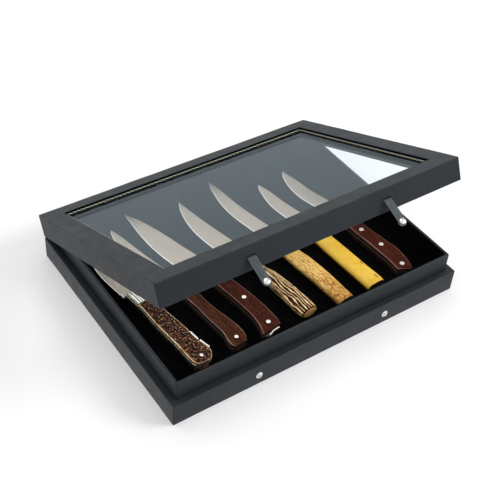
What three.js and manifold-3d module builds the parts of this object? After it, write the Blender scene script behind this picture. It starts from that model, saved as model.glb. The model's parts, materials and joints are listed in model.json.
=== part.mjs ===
// Knife display case: a plinth with a velvet tray, a hinged glass lid, two snap straps and seven knives.
// Millimetres, +Z up. The origin is the centre of the underside; the straps are at the front, towards -Y.
import * as THREE from 'three';
import { mergeVertices } from 'three/addons/utils/BufferGeometryUtils.js';
import Module from 'manifold-3d';

const wasm = await Module();
wasm.setup();

// Driving dimensions of the base
const plinthHeight = 30;
const ledgeWidth = 8.3;
const edgeChamfer = 0.6;
const bottomBoardThickness = 4;
const trayWallThickness = 3;
const trayWallRise = 25;
const trayDepth = 28;
const velvetPadThickness = 3;
const velvetPadRounding = 0.9;
const liningThickness = 0.8;
const liningSetDown = 0.6;
const glueGap = 0.2;

// The room that the knives take in the tray
const knifePitch = 47.5;
const sideRoom = 45.2;
const tipRoom = 2.13;
const knifeRestGap = 0.3;
const knifePieceGap = 0.3;

// Each knife's handle length, blade length and handle thickness, from the left one to the right one
const handle1 = 134;
const blade1 = 99.3;
const thickness1 = 13;
const handle2 = 114.6;
const blade2 = 127.8;
const thickness2 = 13;
const handle3 = 120;
const blade3 = 142;
const thickness3 = 14;
const handle4 = 112.5;
const blade4 = 131.7;
const thickness4 = 15;
const handle5 = 123;
const blade5 = 143.6;
const thickness5 = 14;
const handle6 = 115;
const blade6 = 112.5;
const thickness6 = 14;
const handle7 = 121.7;
const blade7 = 114.1;
const thickness7 = 13.5;

// Driving dimensions of the lid
const lidHeight = 28.5;
const lidSkirtThickness = 6.5;
const lidFrameWidth = 24;
const lidLipThickness = 4;
const lidRimHeadroom = 0.8;
const glassThickness = 3;
const glassUnderLip = 4.2;
const rebateWallThickness = 0.9;
const glazingStripHeight = 2.4;
const beadWidth = 1.3;
const beadHeight = 1.1;
const lidGap = 0.3;
const lidSeatGap = 0.3;
const lidOpening = 23.8;

// Driving dimensions of the butt hinges at the back
const hingeSpacing = 240;
const hingeLength = 38;
const hingeLeafHeight = 13;
const hingeLeafThickness = 1;
const hingeKnuckleRadius = 2.2;
const hingePinRadius = 1;
const hingePinClearance = 0.3;
const hingeBackGap = 0.3;
const knuckleCount = 5;
const knuckleGap = 0.3;
const screwsPerLeaf = 3;
const screwHeadRadius = 2;
const screwHeadRise = 0.4;
const screwShankRadius = 0.9;
const screwLength = 5;
const screwClearance = 0.3;

// Driving dimensions of the straps and their snap fasteners
const strapSpacing = 180;
const strapWidth = 10;
const strapThickness = 1.6;
const strapSlotHeight = 14.2;
const strapTailLength = 5;
const strapSlotClearance = 0.5;
const strapPivotGap = 0.3;
const strapReach = 29.8;
const strapRestAngle = 45;
const capRadius = 3.9;
const capDomeHeight = 1.9;
const snapPostRadius = 1.3;
const snapClearance = 0.3;
const socketRadius = 3.9;
const socketHeight = 2;
const socketFlange = 0.6;
const studHeightOnPlinth = 14.5;
const studFlangeRadius = 4.4;
const studFlangeThickness = 0.8;
const studNubRadius = 2.1;
const studNubHeight = 1.6;
const studEyeRadius = 0.9;
const studPostLength = 5;

// Sizes that follow from the driving ones
const degrees = Math.PI / 180;
const trayInset = ledgeWidth + trayWallThickness;
const liningInset = trayInset + glueGap + liningThickness;
const rimHeight = plinthHeight + trayWallRise;
const floorHeight = rimHeight - trayDepth;
const strapPivotOut = strapThickness / 2 + strapPivotGap;
const socketBoreRadius = studNubRadius + 2 * snapClearance;
const strapCentres = [-strapSpacing / 2, strapSpacing / 2];
const hingeCentres = [-hingeSpacing / 2, hingeSpacing / 2];
const sideNames = ['left', 'right'];

const colours = {
  cover: 0x3f4347, velvet: 0x0b0b0c, board: 0x2b2b2d, foam: 0x33363a, glass: 0x8fa0a6, bead: 0xa39a6c,
  nickel: 0xd4d4d2, brass: 0xb89a55, steel: 0xc9c4ba, strap: 0x4b5256, stag: 0x6b4426, wood: 0x4a241b,
  redWood: 0x40150f, paleStag: 0xd0a060, goldStag: 0xd89b3c, bone: 0xe2b83a,
};

function finish(colour, roughness, metalness = 0) {
  return new THREE.MeshStandardMaterial({ color: colour, roughness, metalness });
}

function leatherette() {
  return finish(colours.cover, 0.6);
}

function bladeSteel() {
  return finish(colours.steel, 0.3, 0.9);
}

function nickelPlate(roughness = 0.3) {
  return finish(colours.nickel, roughness, 0.9);
}

// Closed solids and their boolean operations
function welded(geometry) {
  geometry.deleteAttribute('normal');
  geometry.deleteAttribute('uv');
  const merged = mergeVertices(geometry, 1e-4);
  const index = merged.getIndex().array;
  const kept = [];
  for (let i = 0; i < index.length; i += 3) {
    const [a, b, c] = [index[i], index[i + 1], index[i + 2]];
    if (a !== b && b !== c && c !== a) kept.push(a, b, c);
  }
  merged.setIndex(kept);
  return merged;
}

function toSolid(geometry) {
  const closed = welded(geometry);
  return new wasm.Manifold(new wasm.Mesh({
    numProp: 3,
    vertProperties: new Float32Array(closed.getAttribute('position').array),
    triVerts: new Uint32Array(closed.getIndex().array),
  }));
}

function toGeometry(solid) {
  const mesh = solid.getMesh();
  const geometry = new THREE.BufferGeometry();
  geometry.setAttribute('position', new THREE.BufferAttribute(new Float32Array(mesh.vertProperties), 3));
  geometry.setIndex(Array.from(mesh.triVerts));
  return geometry;
}

function cut(body, tools) {
  let solid = toSolid(body);
  for (const tool of tools) solid = solid.subtract(toSolid(tool));
  return toGeometry(solid);
}

function join(bodies) {
  let solid = toSolid(bodies[0]);
  for (const body of bodies.slice(1)) solid = solid.add(toSolid(body));
  return toGeometry(solid);
}

function block(x0, x1, y0, y1, z0, z1) {
  const geometry = new THREE.BoxGeometry(x1 - x0, y1 - y0, z1 - z0);
  return geometry.translate((x0 + x1) / 2, (y0 + y1) / 2, (z0 + z1) / 2);
}

// A rod along X, Y or Z, centred on a point
function rod(radius, length, axis, [x, y, z], sides = 16) {
  const geometry = new THREE.CylinderGeometry(radius, radius, length, sides);
  if (axis === 'x') geometry.rotateZ(Math.PI / 2);
  if (axis === 'z') geometry.rotateX(Math.PI / 2);
  return geometry.translate(x, y, z);
}

// A turned piece whose axis points up, with its profile as [radius, height]
function turned(profile, sides = 20) {
  const points = profile.map(([radius, height]) => new THREE.Vector2(radius, height));
  return welded(new THREE.LatheGeometry(points, sides)).rotateX(Math.PI / 2);
}

// One mitred rail along X: its profile is [inset from the outer face, height], and both ends slope with it
function mitredRail(profile, length, gap) {
  const shape = new THREE.Shape(profile.map(([inset, height]) => new THREE.Vector2(inset, height)));
  const geometry = new THREE.ExtrudeGeometry(shape, { depth: 1, bevelEnabled: false });
  const position = geometry.getAttribute('position');
  for (let i = 0; i < position.count; i++) {
    const inset = position.getX(i);
    const height = position.getY(i);
    const side = position.getZ(i) > 0.5 ? 1 : -1;
    position.setXYZ(i, side * (length / 2 - inset - gap / 2), inset, height);
  }
  return welded(geometry);
}

// A frame of four mitred rails round the centre of a rectangle; edit may cut a rail by its side's name
function addFrame(parent, stem, profile, [width, depth], [centreY, baseZ], gap, material, edit = {}) {
  const sides = [
    ['front', width, 0, [0, -depth / 2]],
    ['right', depth, 90, [width / 2, 0]],
    ['back', width, 180, [0, depth / 2]],
    ['left', depth, -90, [-width / 2, 0]],
  ];
  for (const [side, length, turn, [x, y]] of sides) {
    let rail = mitredRail(profile, length, gap);
    rail.rotateZ(turn * degrees).translate(x, y + centreY, baseZ);
    if (edit[side]) rail = edit[side](rail);
    addMesh(parent, `${stem}_${side}`, rail, material);
  }
}

function addMesh(parent, name, geometry, material) {
  const mesh = new THREE.Mesh(geometry, material);
  mesh.name = name;
  parent.add(mesh);
  return mesh;
}

// A one-piece rectangular frame with the profile [inset from the outer edge, height], mitred at its corners
function frameRing(profile, [width, depth], [centreY, baseZ]) {
  const corners = [[-1, -1], [1, -1], [1, 1], [-1, 1]];
  const positions = corners.flatMap(([signX, signY]) => profile.flatMap(([inset, height]) => {
    return [signX * (width / 2 - inset), centreY + signY * (depth / 2 - inset), baseZ + height];
  }));
  return solidOfRings(positions, profile.length, corners.length, true);
}

const flatBar = (thickness, height) => [[0, 0], [0, height], [thickness, height], [thickness, 0]];

function signedVolume(positions, index) {
  const corner = (i) => new THREE.Vector3(...positions.slice(3 * index[i], 3 * index[i] + 3));
  let volume = 0;
  for (let i = 0; i < index.length; i += 3) volume += corner(i).dot(corner(i + 1).cross(corner(i + 2))) / 6;
  return volume;
}

// A closed solid through rings of equally many points: the last ring joins the first, or both get a cap.
// Its faces point out whichever way the rings run.
function solidOfRings(positions, count, ringCount, closed) {
  const index = [];
  for (let r = 0; r < (closed ? ringCount : ringCount - 1); r++) {
    for (let i = 0; i < count; i++) {
      const [a, b] = [r * count + i, r * count + (i + 1) % count];
      const next = ((r + 1) % ringCount - r) * count;
      index.push(a, b, a + next, b, b + next, a + next);
    }
  }
  const last = (ringCount - 1) * count;
  for (let i = 1; !closed && i + 1 < count; i++) index.push(0, i + 1, i, last, last + i, last + i + 1);
  if (signedVolume(positions, index) < 0) index.reverse();
  const geometry = new THREE.BufferGeometry();
  geometry.setAttribute('position', new THREE.BufferAttribute(new Float32Array(positions), 3));
  geometry.setIndex(index);
  return geometry;
}

function loft(rings) {
  return solidOfRings(rings.flat(2), rings[0].length, rings.length, false);
}

// A smooth value between [place, value] stations, with level tangents at the ends
function smooth(stations, place) {
  const after = stations.findIndex(([at]) => at >= place);
  if (after === 0) return stations[0][1];
  if (after < 0) return stations[stations.length - 1][1];
  const [a, valueA] = stations[after - 1];
  const [b, valueB] = stations[after];
  const slope = (i) => {
    if (i <= 0 || i >= stations.length - 1) return 0;
    return (stations[i + 1][1] - stations[i - 1][1]) / (stations[i + 1][0] - stations[i - 1][0]);
  };
  const span = b - a;
  const t = (place - a) / span;
  const startPull = t * (1 - t) ** 2 * span * slope(after - 1);
  const endPull = t * t * (t - 1) * span * slope(after);
  return valueA + (valueB - valueA) * t * t * (3 - 2 * t) + startPull + endPull;
}

function steps(from, to, count) {
  return Array.from({ length: count + 1 }, (_, i) => from + (to - from) * i / count);
}

// Knives. Each lies along +Y from its butt at y = 0, with its edge towards -X and its middle plane at z = 0.
// left and right are [share of the handle's length from the butt, distance from the knife's middle line].
// spine is [share of the blade's length from the heel, place of the blade's back across the knife], breadth is
// the blade's width there without its belly, and belly holds how late and how fully the edge rises to the tip.
const knives = [
  {
    name: 'knife_1', build: folderStyleKnife, shift: 3.3, yaw: 6.9, setback: 18.4,
    handleLength: handle1, bladeLength: blade1, handleThickness: thickness1, tangThickness: 3.2,
    spine: [[0, 12.6], [0.45, 10.8], [1, 4.3]],
    breadth: [[0, 26.8], [0.45, 27.5], [0.77, 24.5], [1, 25]], belly: [3, 0.75],
    left: [[0, 4.5], [0.011, 9.8], [0.037, 13], [0.093, 13.8], [0.2, 13], [0.32, 12.4], [0.555, 12.2],
      [0.77, 10], [1, 10.3]],
    right: [[0, 3], [0.0185, 7.9], [0.046, 11.2], [0.083, 12.4], [0.14, 11.6], [0.22, 10.5], [0.415, 10.8],
      [0.555, 9.8], [0.7, 9], [1, 9]],
    material: [colours.stag, 0.55],
    pins: [0.065], pinRadius: 2.2, bolsterLength: 22, linerThickness: 1.3, flankShare: 0.75,
  },
  {
    name: 'knife_2', build: fullTangKnife, shift: 3, yaw: 6.6, setback: 19.7,
    handleLength: handle2, bladeLength: blade2, handleThickness: thickness2, tangThickness: 2.8,
    spine: [[0, 7.5], [0.25, 3.8], [0.6, -1], [0.9, -4], [1, -6]],
    breadth: [[0, 14], [0.12, 11], [0.3, 8.8], [0.67, 16], [1, 18]], belly: [5, 0.8],
    left: [[0, 8], [0.014, 11.3], [0.055, 12.4], [0.11, 11.6], [0.175, 9.3], [0.25, 8.3], [0.45, 8.3],
      [0.63, 7.4], [1, 8.4]],
    right: [[0, 6], [0.045, 9.2], [0.09, 10.5], [0.15, 11.5], [0.24, 11.3], [0.38, 10.1], [0.5, 8.4],
      [0.65, 8], [1, 8]],
    material: [colours.wood, 0.6], pins: [0.087, 0.84], pinRadius: 2.4, flankShare: 0.8,
  },
  {
    name: 'knife_3', build: fullTangKnife, shift: -1.3, yaw: 7.1, setback: 19.3,
    handleLength: handle3, bladeLength: blade3, handleThickness: thickness3, tangThickness: 3,
    spine: [[0, 9.9], [0.34, 3.8], [0.65, -2.7], [0.85, -9], [1, -16.1]],
    breadth: [[0, 30], [0.2, 31.5], [1, 33]], belly: [2.8, 1],
    left: [[0, 17.3], [0.08, 13.4], [0.145, 11.3], [0.21, 9.4], [0.28, 8.5], [0.5, 7.8], [0.72, 8.7],
      [1, 9]],
    right: [[0, 8.2], [0.03, 9.8], [0.07, 10.7], [0.14, 11.5], [0.21, 12.5], [0.37, 12.9], [0.6, 12.2],
      [0.75, 10.4], [1, 9.6]],
    material: [colours.redWood, 0.5], pins: [0.082, 0.466, 0.84], pinRadius: 2.7, flankShare: 0.8,
    spur: { reach: 3.2, left: 13.5, right: -6 },
  },
  {
    name: 'knife_4', build: hornHandledKnife, shift: 2.4, yaw: 5.7, setback: 20,
    handleLength: handle4, bladeLength: blade4, handleThickness: thickness4, tangThickness: 2.8,
    spine: [[0, 7.9], [0.26, 3.6], [0.6, -1.9], [0.8, -3.9], [1, -5.2]],
    breadth: [[0, 25], [0.27, 27.3], [1, 29]], belly: [2.6, 0.85],
    furrowDepth: 0.7, furrows: 7, fullness: 1, bolsterLength: 28.4,
    left: [[0, 12.4], [0.11, 13], [0.22, 12.4], [0.35, 11.4], [0.48, 10.8], [0.57, 10.2], [0.66, 8.2],
      [0.73, 6.6], [1, 6]],
    right: [[0, 10.6], [0.08, 11.5], [0.27, 12], [0.45, 11.8], [0.56, 10.8], [0.645, 9.3], [0.717, 6.6],
      [0.745, 5.8], [1, 5.4]],
    material: [colours.paleStag, 0.6],
  },
  {
    name: 'knife_5', build: hornHandledKnife, shift: 2.5, yaw: 4.8, setback: 11.7,
    handleLength: handle5, bladeLength: blade5, handleThickness: thickness5, tangThickness: 2.8,
    spine: [[0, 11.2], [0.22, 9.2], [0.49, 4.4], [0.66, 2.8], [0.85, 2.5], [1, 1]],
    breadth: [[0, 20.5], [0.3, 21.6], [1, 23]], belly: [3, 0.75],
    furrowDepth: 0.35, furrows: 8, fullness: 0.72, bolsterLength: 8,
    left: [[0, 12.8], [0.18, 12.2], [0.45, 12.2], [0.65, 13.2], [0.8, 12.6], [1, 11.6]],
    right: [[0, 10.2], [0.06, 10.8], [0.15, 11.2], [0.25, 12.2], [0.36, 12.9], [0.58, 12.6], [0.69, 11.7],
      [0.77, 9.8], [1, 9.6]],
    material: [colours.goldStag, 0.6],
  },
  {
    name: 'knife_6', build: hornHandledKnife, shift: 1.6, yaw: 3.4, setback: 13.9,
    handleLength: handle6, bladeLength: blade6, handleThickness: thickness6, tangThickness: 2.6,
    spine: [[0, 12.1], [0.34, 8.6], [0.6, 4.3], [0.85, 2.1], [1, -0.9]],
    breadth: [[0, 21], [1, 23.5]], belly: [3, 0.75],
    furrowDepth: 0, furrows: 0, fullness: 0.72, bolsterLength: 0,
    left: [[0, 13.6], [0.3, 13.4], [0.7, 13.2], [1, 12]],
    right: [[0, 12.2], [0.1, 12.7], [0.22, 12], [0.6, 11.5], [1, 10.6]],
    material: [colours.bone, 0.45],
  },
  {
    name: 'knife_7', build: fullTangKnife, shift: 3.9, yaw: 3.4, setback: 12.6,
    handleLength: handle7, bladeLength: blade7, handleThickness: thickness7, tangThickness: 2.8,
    spine: [[0, 9.6], [0.285, 4.9], [0.49, 0.2], [0.64, -1.8], [0.82, -3.5], [1, -6.2]],
    breadth: [[0, 20.5], [0.3, 22.3], [1, 27]], belly: [3, 0.75],
    left: [[0, 0.5], [0.03, 6], [0.06, 12.8], [0.13, 12.4], [0.22, 11.4], [0.5, 11.1], [0.7, 12],
      [1, 10.6]],
    right: [[0, 3.6], [0.042, 6], [0.106, 8.6], [0.18, 10.2], [0.25, 11.6], [0.34, 11.8], [0.43, 10.6],
      [0.52, 9.9], [0.66, 7.8], [1, 7.6]],
    material: [colours.redWood, 0.5], pins: [0.096, 0.4215, 0.7], pinRadius: 3, flankShare: 0.8,
  },
];

const edgeThickness = 0.5;
const tipThickness = 0.8;
const tipHalfWidth = 0.5;
const grindShare = 0.55;
const ricassoLength = 6;
const bladeSteps = 12;
const handleSteps = 13;
const stickTangHalfWidth = 3.2;
const pinProud = 0.25;
const endRoundLength = 7;
const flatSides = [[1, 'upper'], [-1, 'lower']];
const stickTangLength = 45;

// The blade's ring at one place: back corners, grind line and edge, above and below the middle plane
function bladeRing(left, right, y, thickness, edge, grindLine) {
  const half = thickness / 2;
  return [
    [right, y, half], [grindLine, y, half], [left, y, edge / 2],
    [left, y, -edge / 2], [grindLine, y, -half], [right, y, -half],
  ];
}

// The blade's edge and back at a share of its length: its belly rises to meet the back at the tip
function bladeSides(knife, share) {
  const right = smooth(knife.spine, share);
  const [sweep, fullness] = knife.belly;
  const width = smooth(knife.breadth, share) * Math.max(0, 1 - share ** sweep) ** fullness;
  return [right - Math.max(2 * tipHalfWidth, width), right];
}

// The blade's rings: a short full-thickness ricasso, then a ground blade that thins towards the tip
function bladeRings(knife) {
  const heel = knife.handleLength;
  const [heelLeft, heelRight] = bladeSides(knife, 0);
  const rings = [bladeRing(heelLeft, heelRight, heel + knifePieceGap, knife.tangThickness, knife.tangThickness,
    (heelLeft + heelRight) / 2)];
  for (const share of steps(ricassoLength / knife.bladeLength, 1, bladeSteps)) {
    const [left, right] = bladeSides(knife, share);
    const thickness = knife.tangThickness + (tipThickness - knife.tangThickness) * share ** 2;
    const grindLine = left + (right - left) * grindShare;
    rings.push(bladeRing(left, right, heel + knife.bladeLength * share, thickness, edgeThickness, grindLine));
  }
  return rings;
}

function handleWidths(knife, y) {
  const share = y / knife.handleLength;
  return [smooth(knife.left, share), smooth(knife.right, share)];
}

// A handle's places run denser towards its butt, where the outline turns
function handlePlaces(knife, from = 0) {
  return steps(0, 1, handleSteps).map((t) => from + (knife.handleLength - from) * t ** 1.7);
}

// One side of a flat handle: flat towards the tang and domed outside, lower at the butt and at the front
function scaleRings(knife, inner, outer, side, from = 0) {
  const archPoints = 5;
  const shoulder = knife.flankShare;
  const endShare = 0.75;
  return handlePlaces(knife, from).map((y) => {
    const [left, right] = handleWidths(knife, y);
    const nearestEnd = Math.min(from === 0 ? y : endRoundLength, knife.handleLength - y, endRoundLength);
    const rise = (outer - inner) * (endShare + (1 - endShare) * Math.sqrt(nearestEnd / endRoundLength));
    const ring = [[right, y, side * inner]];
    for (const angle of steps(0, 180, archPoints)) {
      const across = Math.sign(Math.cos(angle * degrees)) * Math.abs(Math.cos(angle * degrees)) ** 0.7;
      const up = shoulder * (1 - Math.sin(angle * degrees)) + Math.sin(angle * degrees);
      ring.push([(across >= 0 ? right : left) * across, y, side * (inner + rise * up)]);
    }
    ring.push([-left, y, side * inner]);
    return ring;
  });
}

// Pins are fixed in the tang and pass through both sides of the handle, a little proud of it
function pinPlaces(knife) {
  return knife.pins.map((share) => {
    const y = share * knife.handleLength;
    const [left, right] = handleWidths(knife, y);
    return [(right - left) / 2, y];
  });
}

function handlePin(knife, [x, y]) {
  return rod(knife.pinRadius, knife.handleThickness + 2 * pinProud, 'z', [x, y, 0], 10);
}

function pinHole(knife, [x, y]) {
  return rod(knife.pinRadius + knifePieceGap, 2 * knife.handleThickness, 'z', [x, y, 0], 10);
}

// Blade and full tang in one plate between two scales, held by pins. A spur of the tang may show at the butt
function fullTangKnife(group, knife) {
  const tang = handlePlaces(knife).map((y) => {
    const [left, right] = handleWidths(knife, y);
    return bladeRing(-left, right, y, knife.tangThickness, knife.tangThickness, (right - left) / 2);
  });
  if (knife.spur) {
    const { reach, left, right } = knife.spur;
    tang.unshift(bladeRing(-left, right, -reach, knife.tangThickness, knife.tangThickness, (right - left) / 2));
  }
  const pins = pinPlaces(knife);
  const plate = join([loft([...tang, ...bladeRings(knife)]), ...pins.map((pin) => handlePin(knife, pin))]);
  addMesh(group, `${knife.name}_blade`, plate, bladeSteel());
  const inner = knife.tangThickness / 2 + knifePieceGap;
  const outer = knife.handleThickness / 2;
  for (const [side, where] of flatSides) {
    const scale = cut(loft(scaleRings(knife, inner, outer, side)), pins.map((pin) => pinHole(knife, pin)));
    addMesh(group, `${knife.name}_${where}_scale`, scale, finish(...knife.material));
  }
}

// Blade with a stick tang that runs through a bolster into a round handle of horn or bone
function hornHandledKnife(group, knife) {
  const heel = knife.handleLength;
  const tangHalf = Math.min(stickTangHalfWidth, knife.spine[0][1] - 1);
  const tangThickness = knife.tangThickness - 0.4;
  const tang = [heel - stickTangLength, heel + knifePieceGap].map((y) => {
    return bladeRing(-tangHalf, tangHalf, y, tangThickness, tangThickness, 0);
  });
  addMesh(group, `${knife.name}_blade`, loft([...tang, ...bladeRings(knife)]), bladeSteel());
  const slotHalf = tangHalf + knifePieceGap;
  const slotRise = tangThickness / 2 + knifePieceGap;
  const slotFoot = heel - stickTangLength - knifePieceGap;
  const slot = block(-slotHalf, slotHalf, slotFoot, heel + 1, -slotRise, slotRise);
  const handleEnd = heel - (knife.bolsterLength > 0 ? knife.bolsterLength + knifePieceGap : 0);
  const rings = handlePlaces(knife).map((y) => hornRing(knife, y * handleEnd / heel, handleEnd));
  addMesh(group, `${knife.name}_handle`, cut(loft(rings), [slot]), finish(...knife.material));
  if (knife.bolsterLength === 0) return;
  const bolster = [heel - knife.bolsterLength, heel - 1, heel].map((y) => hornRing(knife, y, handleEnd));
  addMesh(group, `${knife.name}_bolster`, cut(loft(bolster), [slot]), nickelPlate());
}

// A horn handle's ring, with furrows that run along it, and a slightly rounded end. A fullness of 1 makes it
// oval and less makes it squarer. Where the handle is slim it is also low.
function hornRing(knife, y, handleEnd) {
  const points = knife.furrows > 0 ? 24 : 16;
  const [left, right] = handleWidths(knife, y);
  const endRound = 0.9 + 0.1 * Math.sqrt(Math.min(1, y / 2.5));
  const fade = y < handleEnd ? Math.min(1, (handleEnd - y) / 15) : 0;
  const twist = 0.7 * Math.sin(y / 31) + 0.4 * Math.sin(y / 13);
  const ring = steps(0, 360, points).slice(0, -1).map((angle) => {
    const a = angle * degrees;
    const furrow = knife.furrowDepth * fade * Math.sin(knife.furrows * a + 3 * twist);
    const [across, up] = [Math.cos(a), Math.sin(a)].map((v) => Math.sign(v) * Math.abs(v) ** knife.fullness);
    const half = (across >= 0 ? right : left) - knife.furrowDepth;
    const rise = Math.min(knife.handleThickness, 1.1 * (left + right)) / 2 - knife.furrowDepth;
    return [(half + furrow) * across * endRound, y, (rise + furrow) * up * endRound];
  });
  return ring;
}

// Blade and back spring between two brass liners that carry the bolsters, with jigged scales outside.
// One pin holds the spring at the butt and another holds the blade's tang between the bolsters.
function folderStyleKnife(group, knife) {
  const heel = knife.handleLength;
  const linerInner = knife.tangThickness / 2 + knifePieceGap;
  const linerOuter = linerInner + knife.linerThickness;
  const outer = knife.handleThickness / 2;
  const boltAt = heel - knife.bolsterLength;
  const [springPin] = pinPlaces(knife);
  const pivotPin = [0, heel - knife.bolsterLength / 2];
  const holes = [springPin, pivotPin].map((pin) => pinHole(knife, pin));
  const bladeTang = [boltAt - 3, heel - 0.5].map((y) => {
    const [left, right] = handleWidths(knife, y);
    return bladeRing(-left * 0.6, right * 0.9, y, knife.tangThickness, knife.tangThickness, 1);
  });
  const blade = join([loft([...bladeTang, ...bladeRings(knife)]), handlePin(knife, pivotPin)]);
  addMesh(group, `${knife.name}_blade`, blade, bladeSteel());
  const springWidth = 5;
  const springProud = 0.9;
  const springHead = 9;
  const springRings = handlePlaces(knife).filter((y) => y < boltAt - 5).map((y) => {
    const [left, right] = handleWidths(knife, y);
    const inside = y < springHead ? -left : right - springWidth;
    const outside = right + springProud;
    return bladeRing(inside, outside, y, knife.tangThickness, knife.tangThickness, (inside + outside) / 2);
  });
  const spring = join([loft(springRings), handlePin(knife, springPin)]);
  addMesh(group, `${knife.name}_backspring`, spring, bladeSteel());
  for (const [side, where] of flatSides) {
    const plate = handlePlaces(knife).map((y) => {
      const [left, right] = handleWidths(knife, y);
      return [[right, y, side * linerInner], [right, y, side * linerOuter],
        [-left, y, side * linerOuter], [-left, y, side * linerInner]];
    });
    const bolster = loft(scaleRings(knife, linerInner, outer, side, boltAt));
    const liner = cut(join([loft(plate), bolster]), holes);
    addMesh(group, `${knife.name}_${where}_liner`, liner, finish(colours.brass, 0.35, 0.9));
    const front = block(-40, 40, boltAt - knifePieceGap, heel + 10, -40, 40);
    const scale = cut(loft(scaleRings(knife, linerOuter + knifePieceGap, outer, side)), [front, ...holes]);
    addMesh(group, `${knife.name}_${where}_scale`, scale, finish(...knife.material));
  }
}

// The case is made round its knives: they set its inside width and depth
const insideWidth = (knives.length - 1) * knifePitch + 2 * sideRoom;
const knifeLength = (knife) => knife.handleLength + knife.bladeLength;
const knifeReach = (knife) => knife.setback + knifeLength(knife) * Math.cos(knife.yaw * degrees);
const insideDepth = Math.max(...knives.map(knifeReach)) + tipRoom;
const caseWidth = insideWidth + 2 * liningInset;
const caseDepth = insideDepth + 2 * liningInset;

function addKnives(parent) {
  knives.forEach((knife, i) => {
    const group = new THREE.Group();
    const x = -insideWidth / 2 + sideRoom + i * knifePitch + knife.shift;
    const y = -insideDepth / 2 + knife.setback;
    const proud = knife.pins ? pinProud : 0;
    group.position.set(x, y, floorHeight + knifeRestGap + proud + knife.handleThickness / 2);
    group.rotation.z = knife.yaw * degrees;
    knife.build(group, knife);
    parent.add(group);
  });
}

// Butt hinges: the axis lies behind the case, at the height where lid and plinth meet
const hingeAxisOut = hingeKnuckleRadius + hingeBackGap;
const hingeY = caseDepth / 2 + hingeAxisOut;
const hingeZ = plinthHeight + lidSeatGap / 2;
const knuckleLength = (hingeLength - (knuckleCount - 1) * knuckleGap) / knuckleCount;

function knucklePlaces(centre, odd) {
  const places = [];
  for (let i = odd ? 1 : 0; i < knuckleCount; i += 2) {
    places.push(centre - hingeLength / 2 + knuckleLength / 2 + i * (knuckleLength + knuckleGap));
  }
  return places;
}

function screwPlaces(centre, up) {
  const z = up * (hingeKnuckleRadius + knuckleGap + (hingeLeafHeight - hingeKnuckleRadius) / 2);
  const spread = hingeLength - 4 * screwHeadRadius - 4;
  return steps(-spread / 2, spread / 2, screwsPerLeaf - 1).map((x) => [centre + x, z]);
}

// One leaf in the hinge's own frame, its axis on the origin; up is 1 on the lid and -1 on the base.
// Its screws are one piece with it: a low round head outside and a shank that goes into the wood.
function hingeLeaf(centre, up) {
  const back = -hingeAxisOut + glueGap;
  const near = up * (hingeKnuckleRadius + knuckleGap);
  const far = up * hingeLeafHeight;
  const front = back + hingeLeafThickness;
  const half = hingeLength / 2;
  const pieces = [block(centre - half, centre + half, back, front, Math.min(near, far), Math.max(near, far))];
  for (const x of knucklePlaces(centre, up > 0)) {
    const z0 = Math.min(0, near + up * 0.5);
    const z1 = Math.max(0, near + up * 0.5);
    pieces.push(block(x - knuckleLength / 2, x + knuckleLength / 2, -hingeKnuckleRadius + 0.1, front, z0, z1));
    pieces.push(rod(hingeKnuckleRadius, knuckleLength, 'x', [x, 0, 0], 14));
  }
  for (const [x, z] of screwPlaces(centre, up)) {
    pieces.push(rod(screwHeadRadius, 2 * screwHeadRise, 'y', [x, front, z], 10));
    pieces.push(rod(screwShankRadius, screwLength, 'y', [x, back + 0.1 - screwLength / 2, z], 6));
  }
  return cut(join(pieces), [rod(hingePinRadius + hingePinClearance, 2 * hingeLength, 'x', [centre, 0, 0], 10)]);
}

function pilotHoles(up, origin) {
  const deep = screwLength + 1;
  return hingeCentres.flatMap((centre) => screwPlaces(centre, up)).map(([x, z]) => {
    const radius = screwShankRadius + screwClearance;
    return rod(radius, 2 * deep, 'y', [x, origin[0] - hingeAxisOut, origin[1] + z], 8);
  });
}

function addHinges(parent, up, stem) {
  hingeCentres.forEach((centre, i) => {
    addMesh(parent, `${stem}_hinge_leaf_${sideNames[i]}`, hingeLeaf(centre, up), nickelPlate());
  });
}

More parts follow.
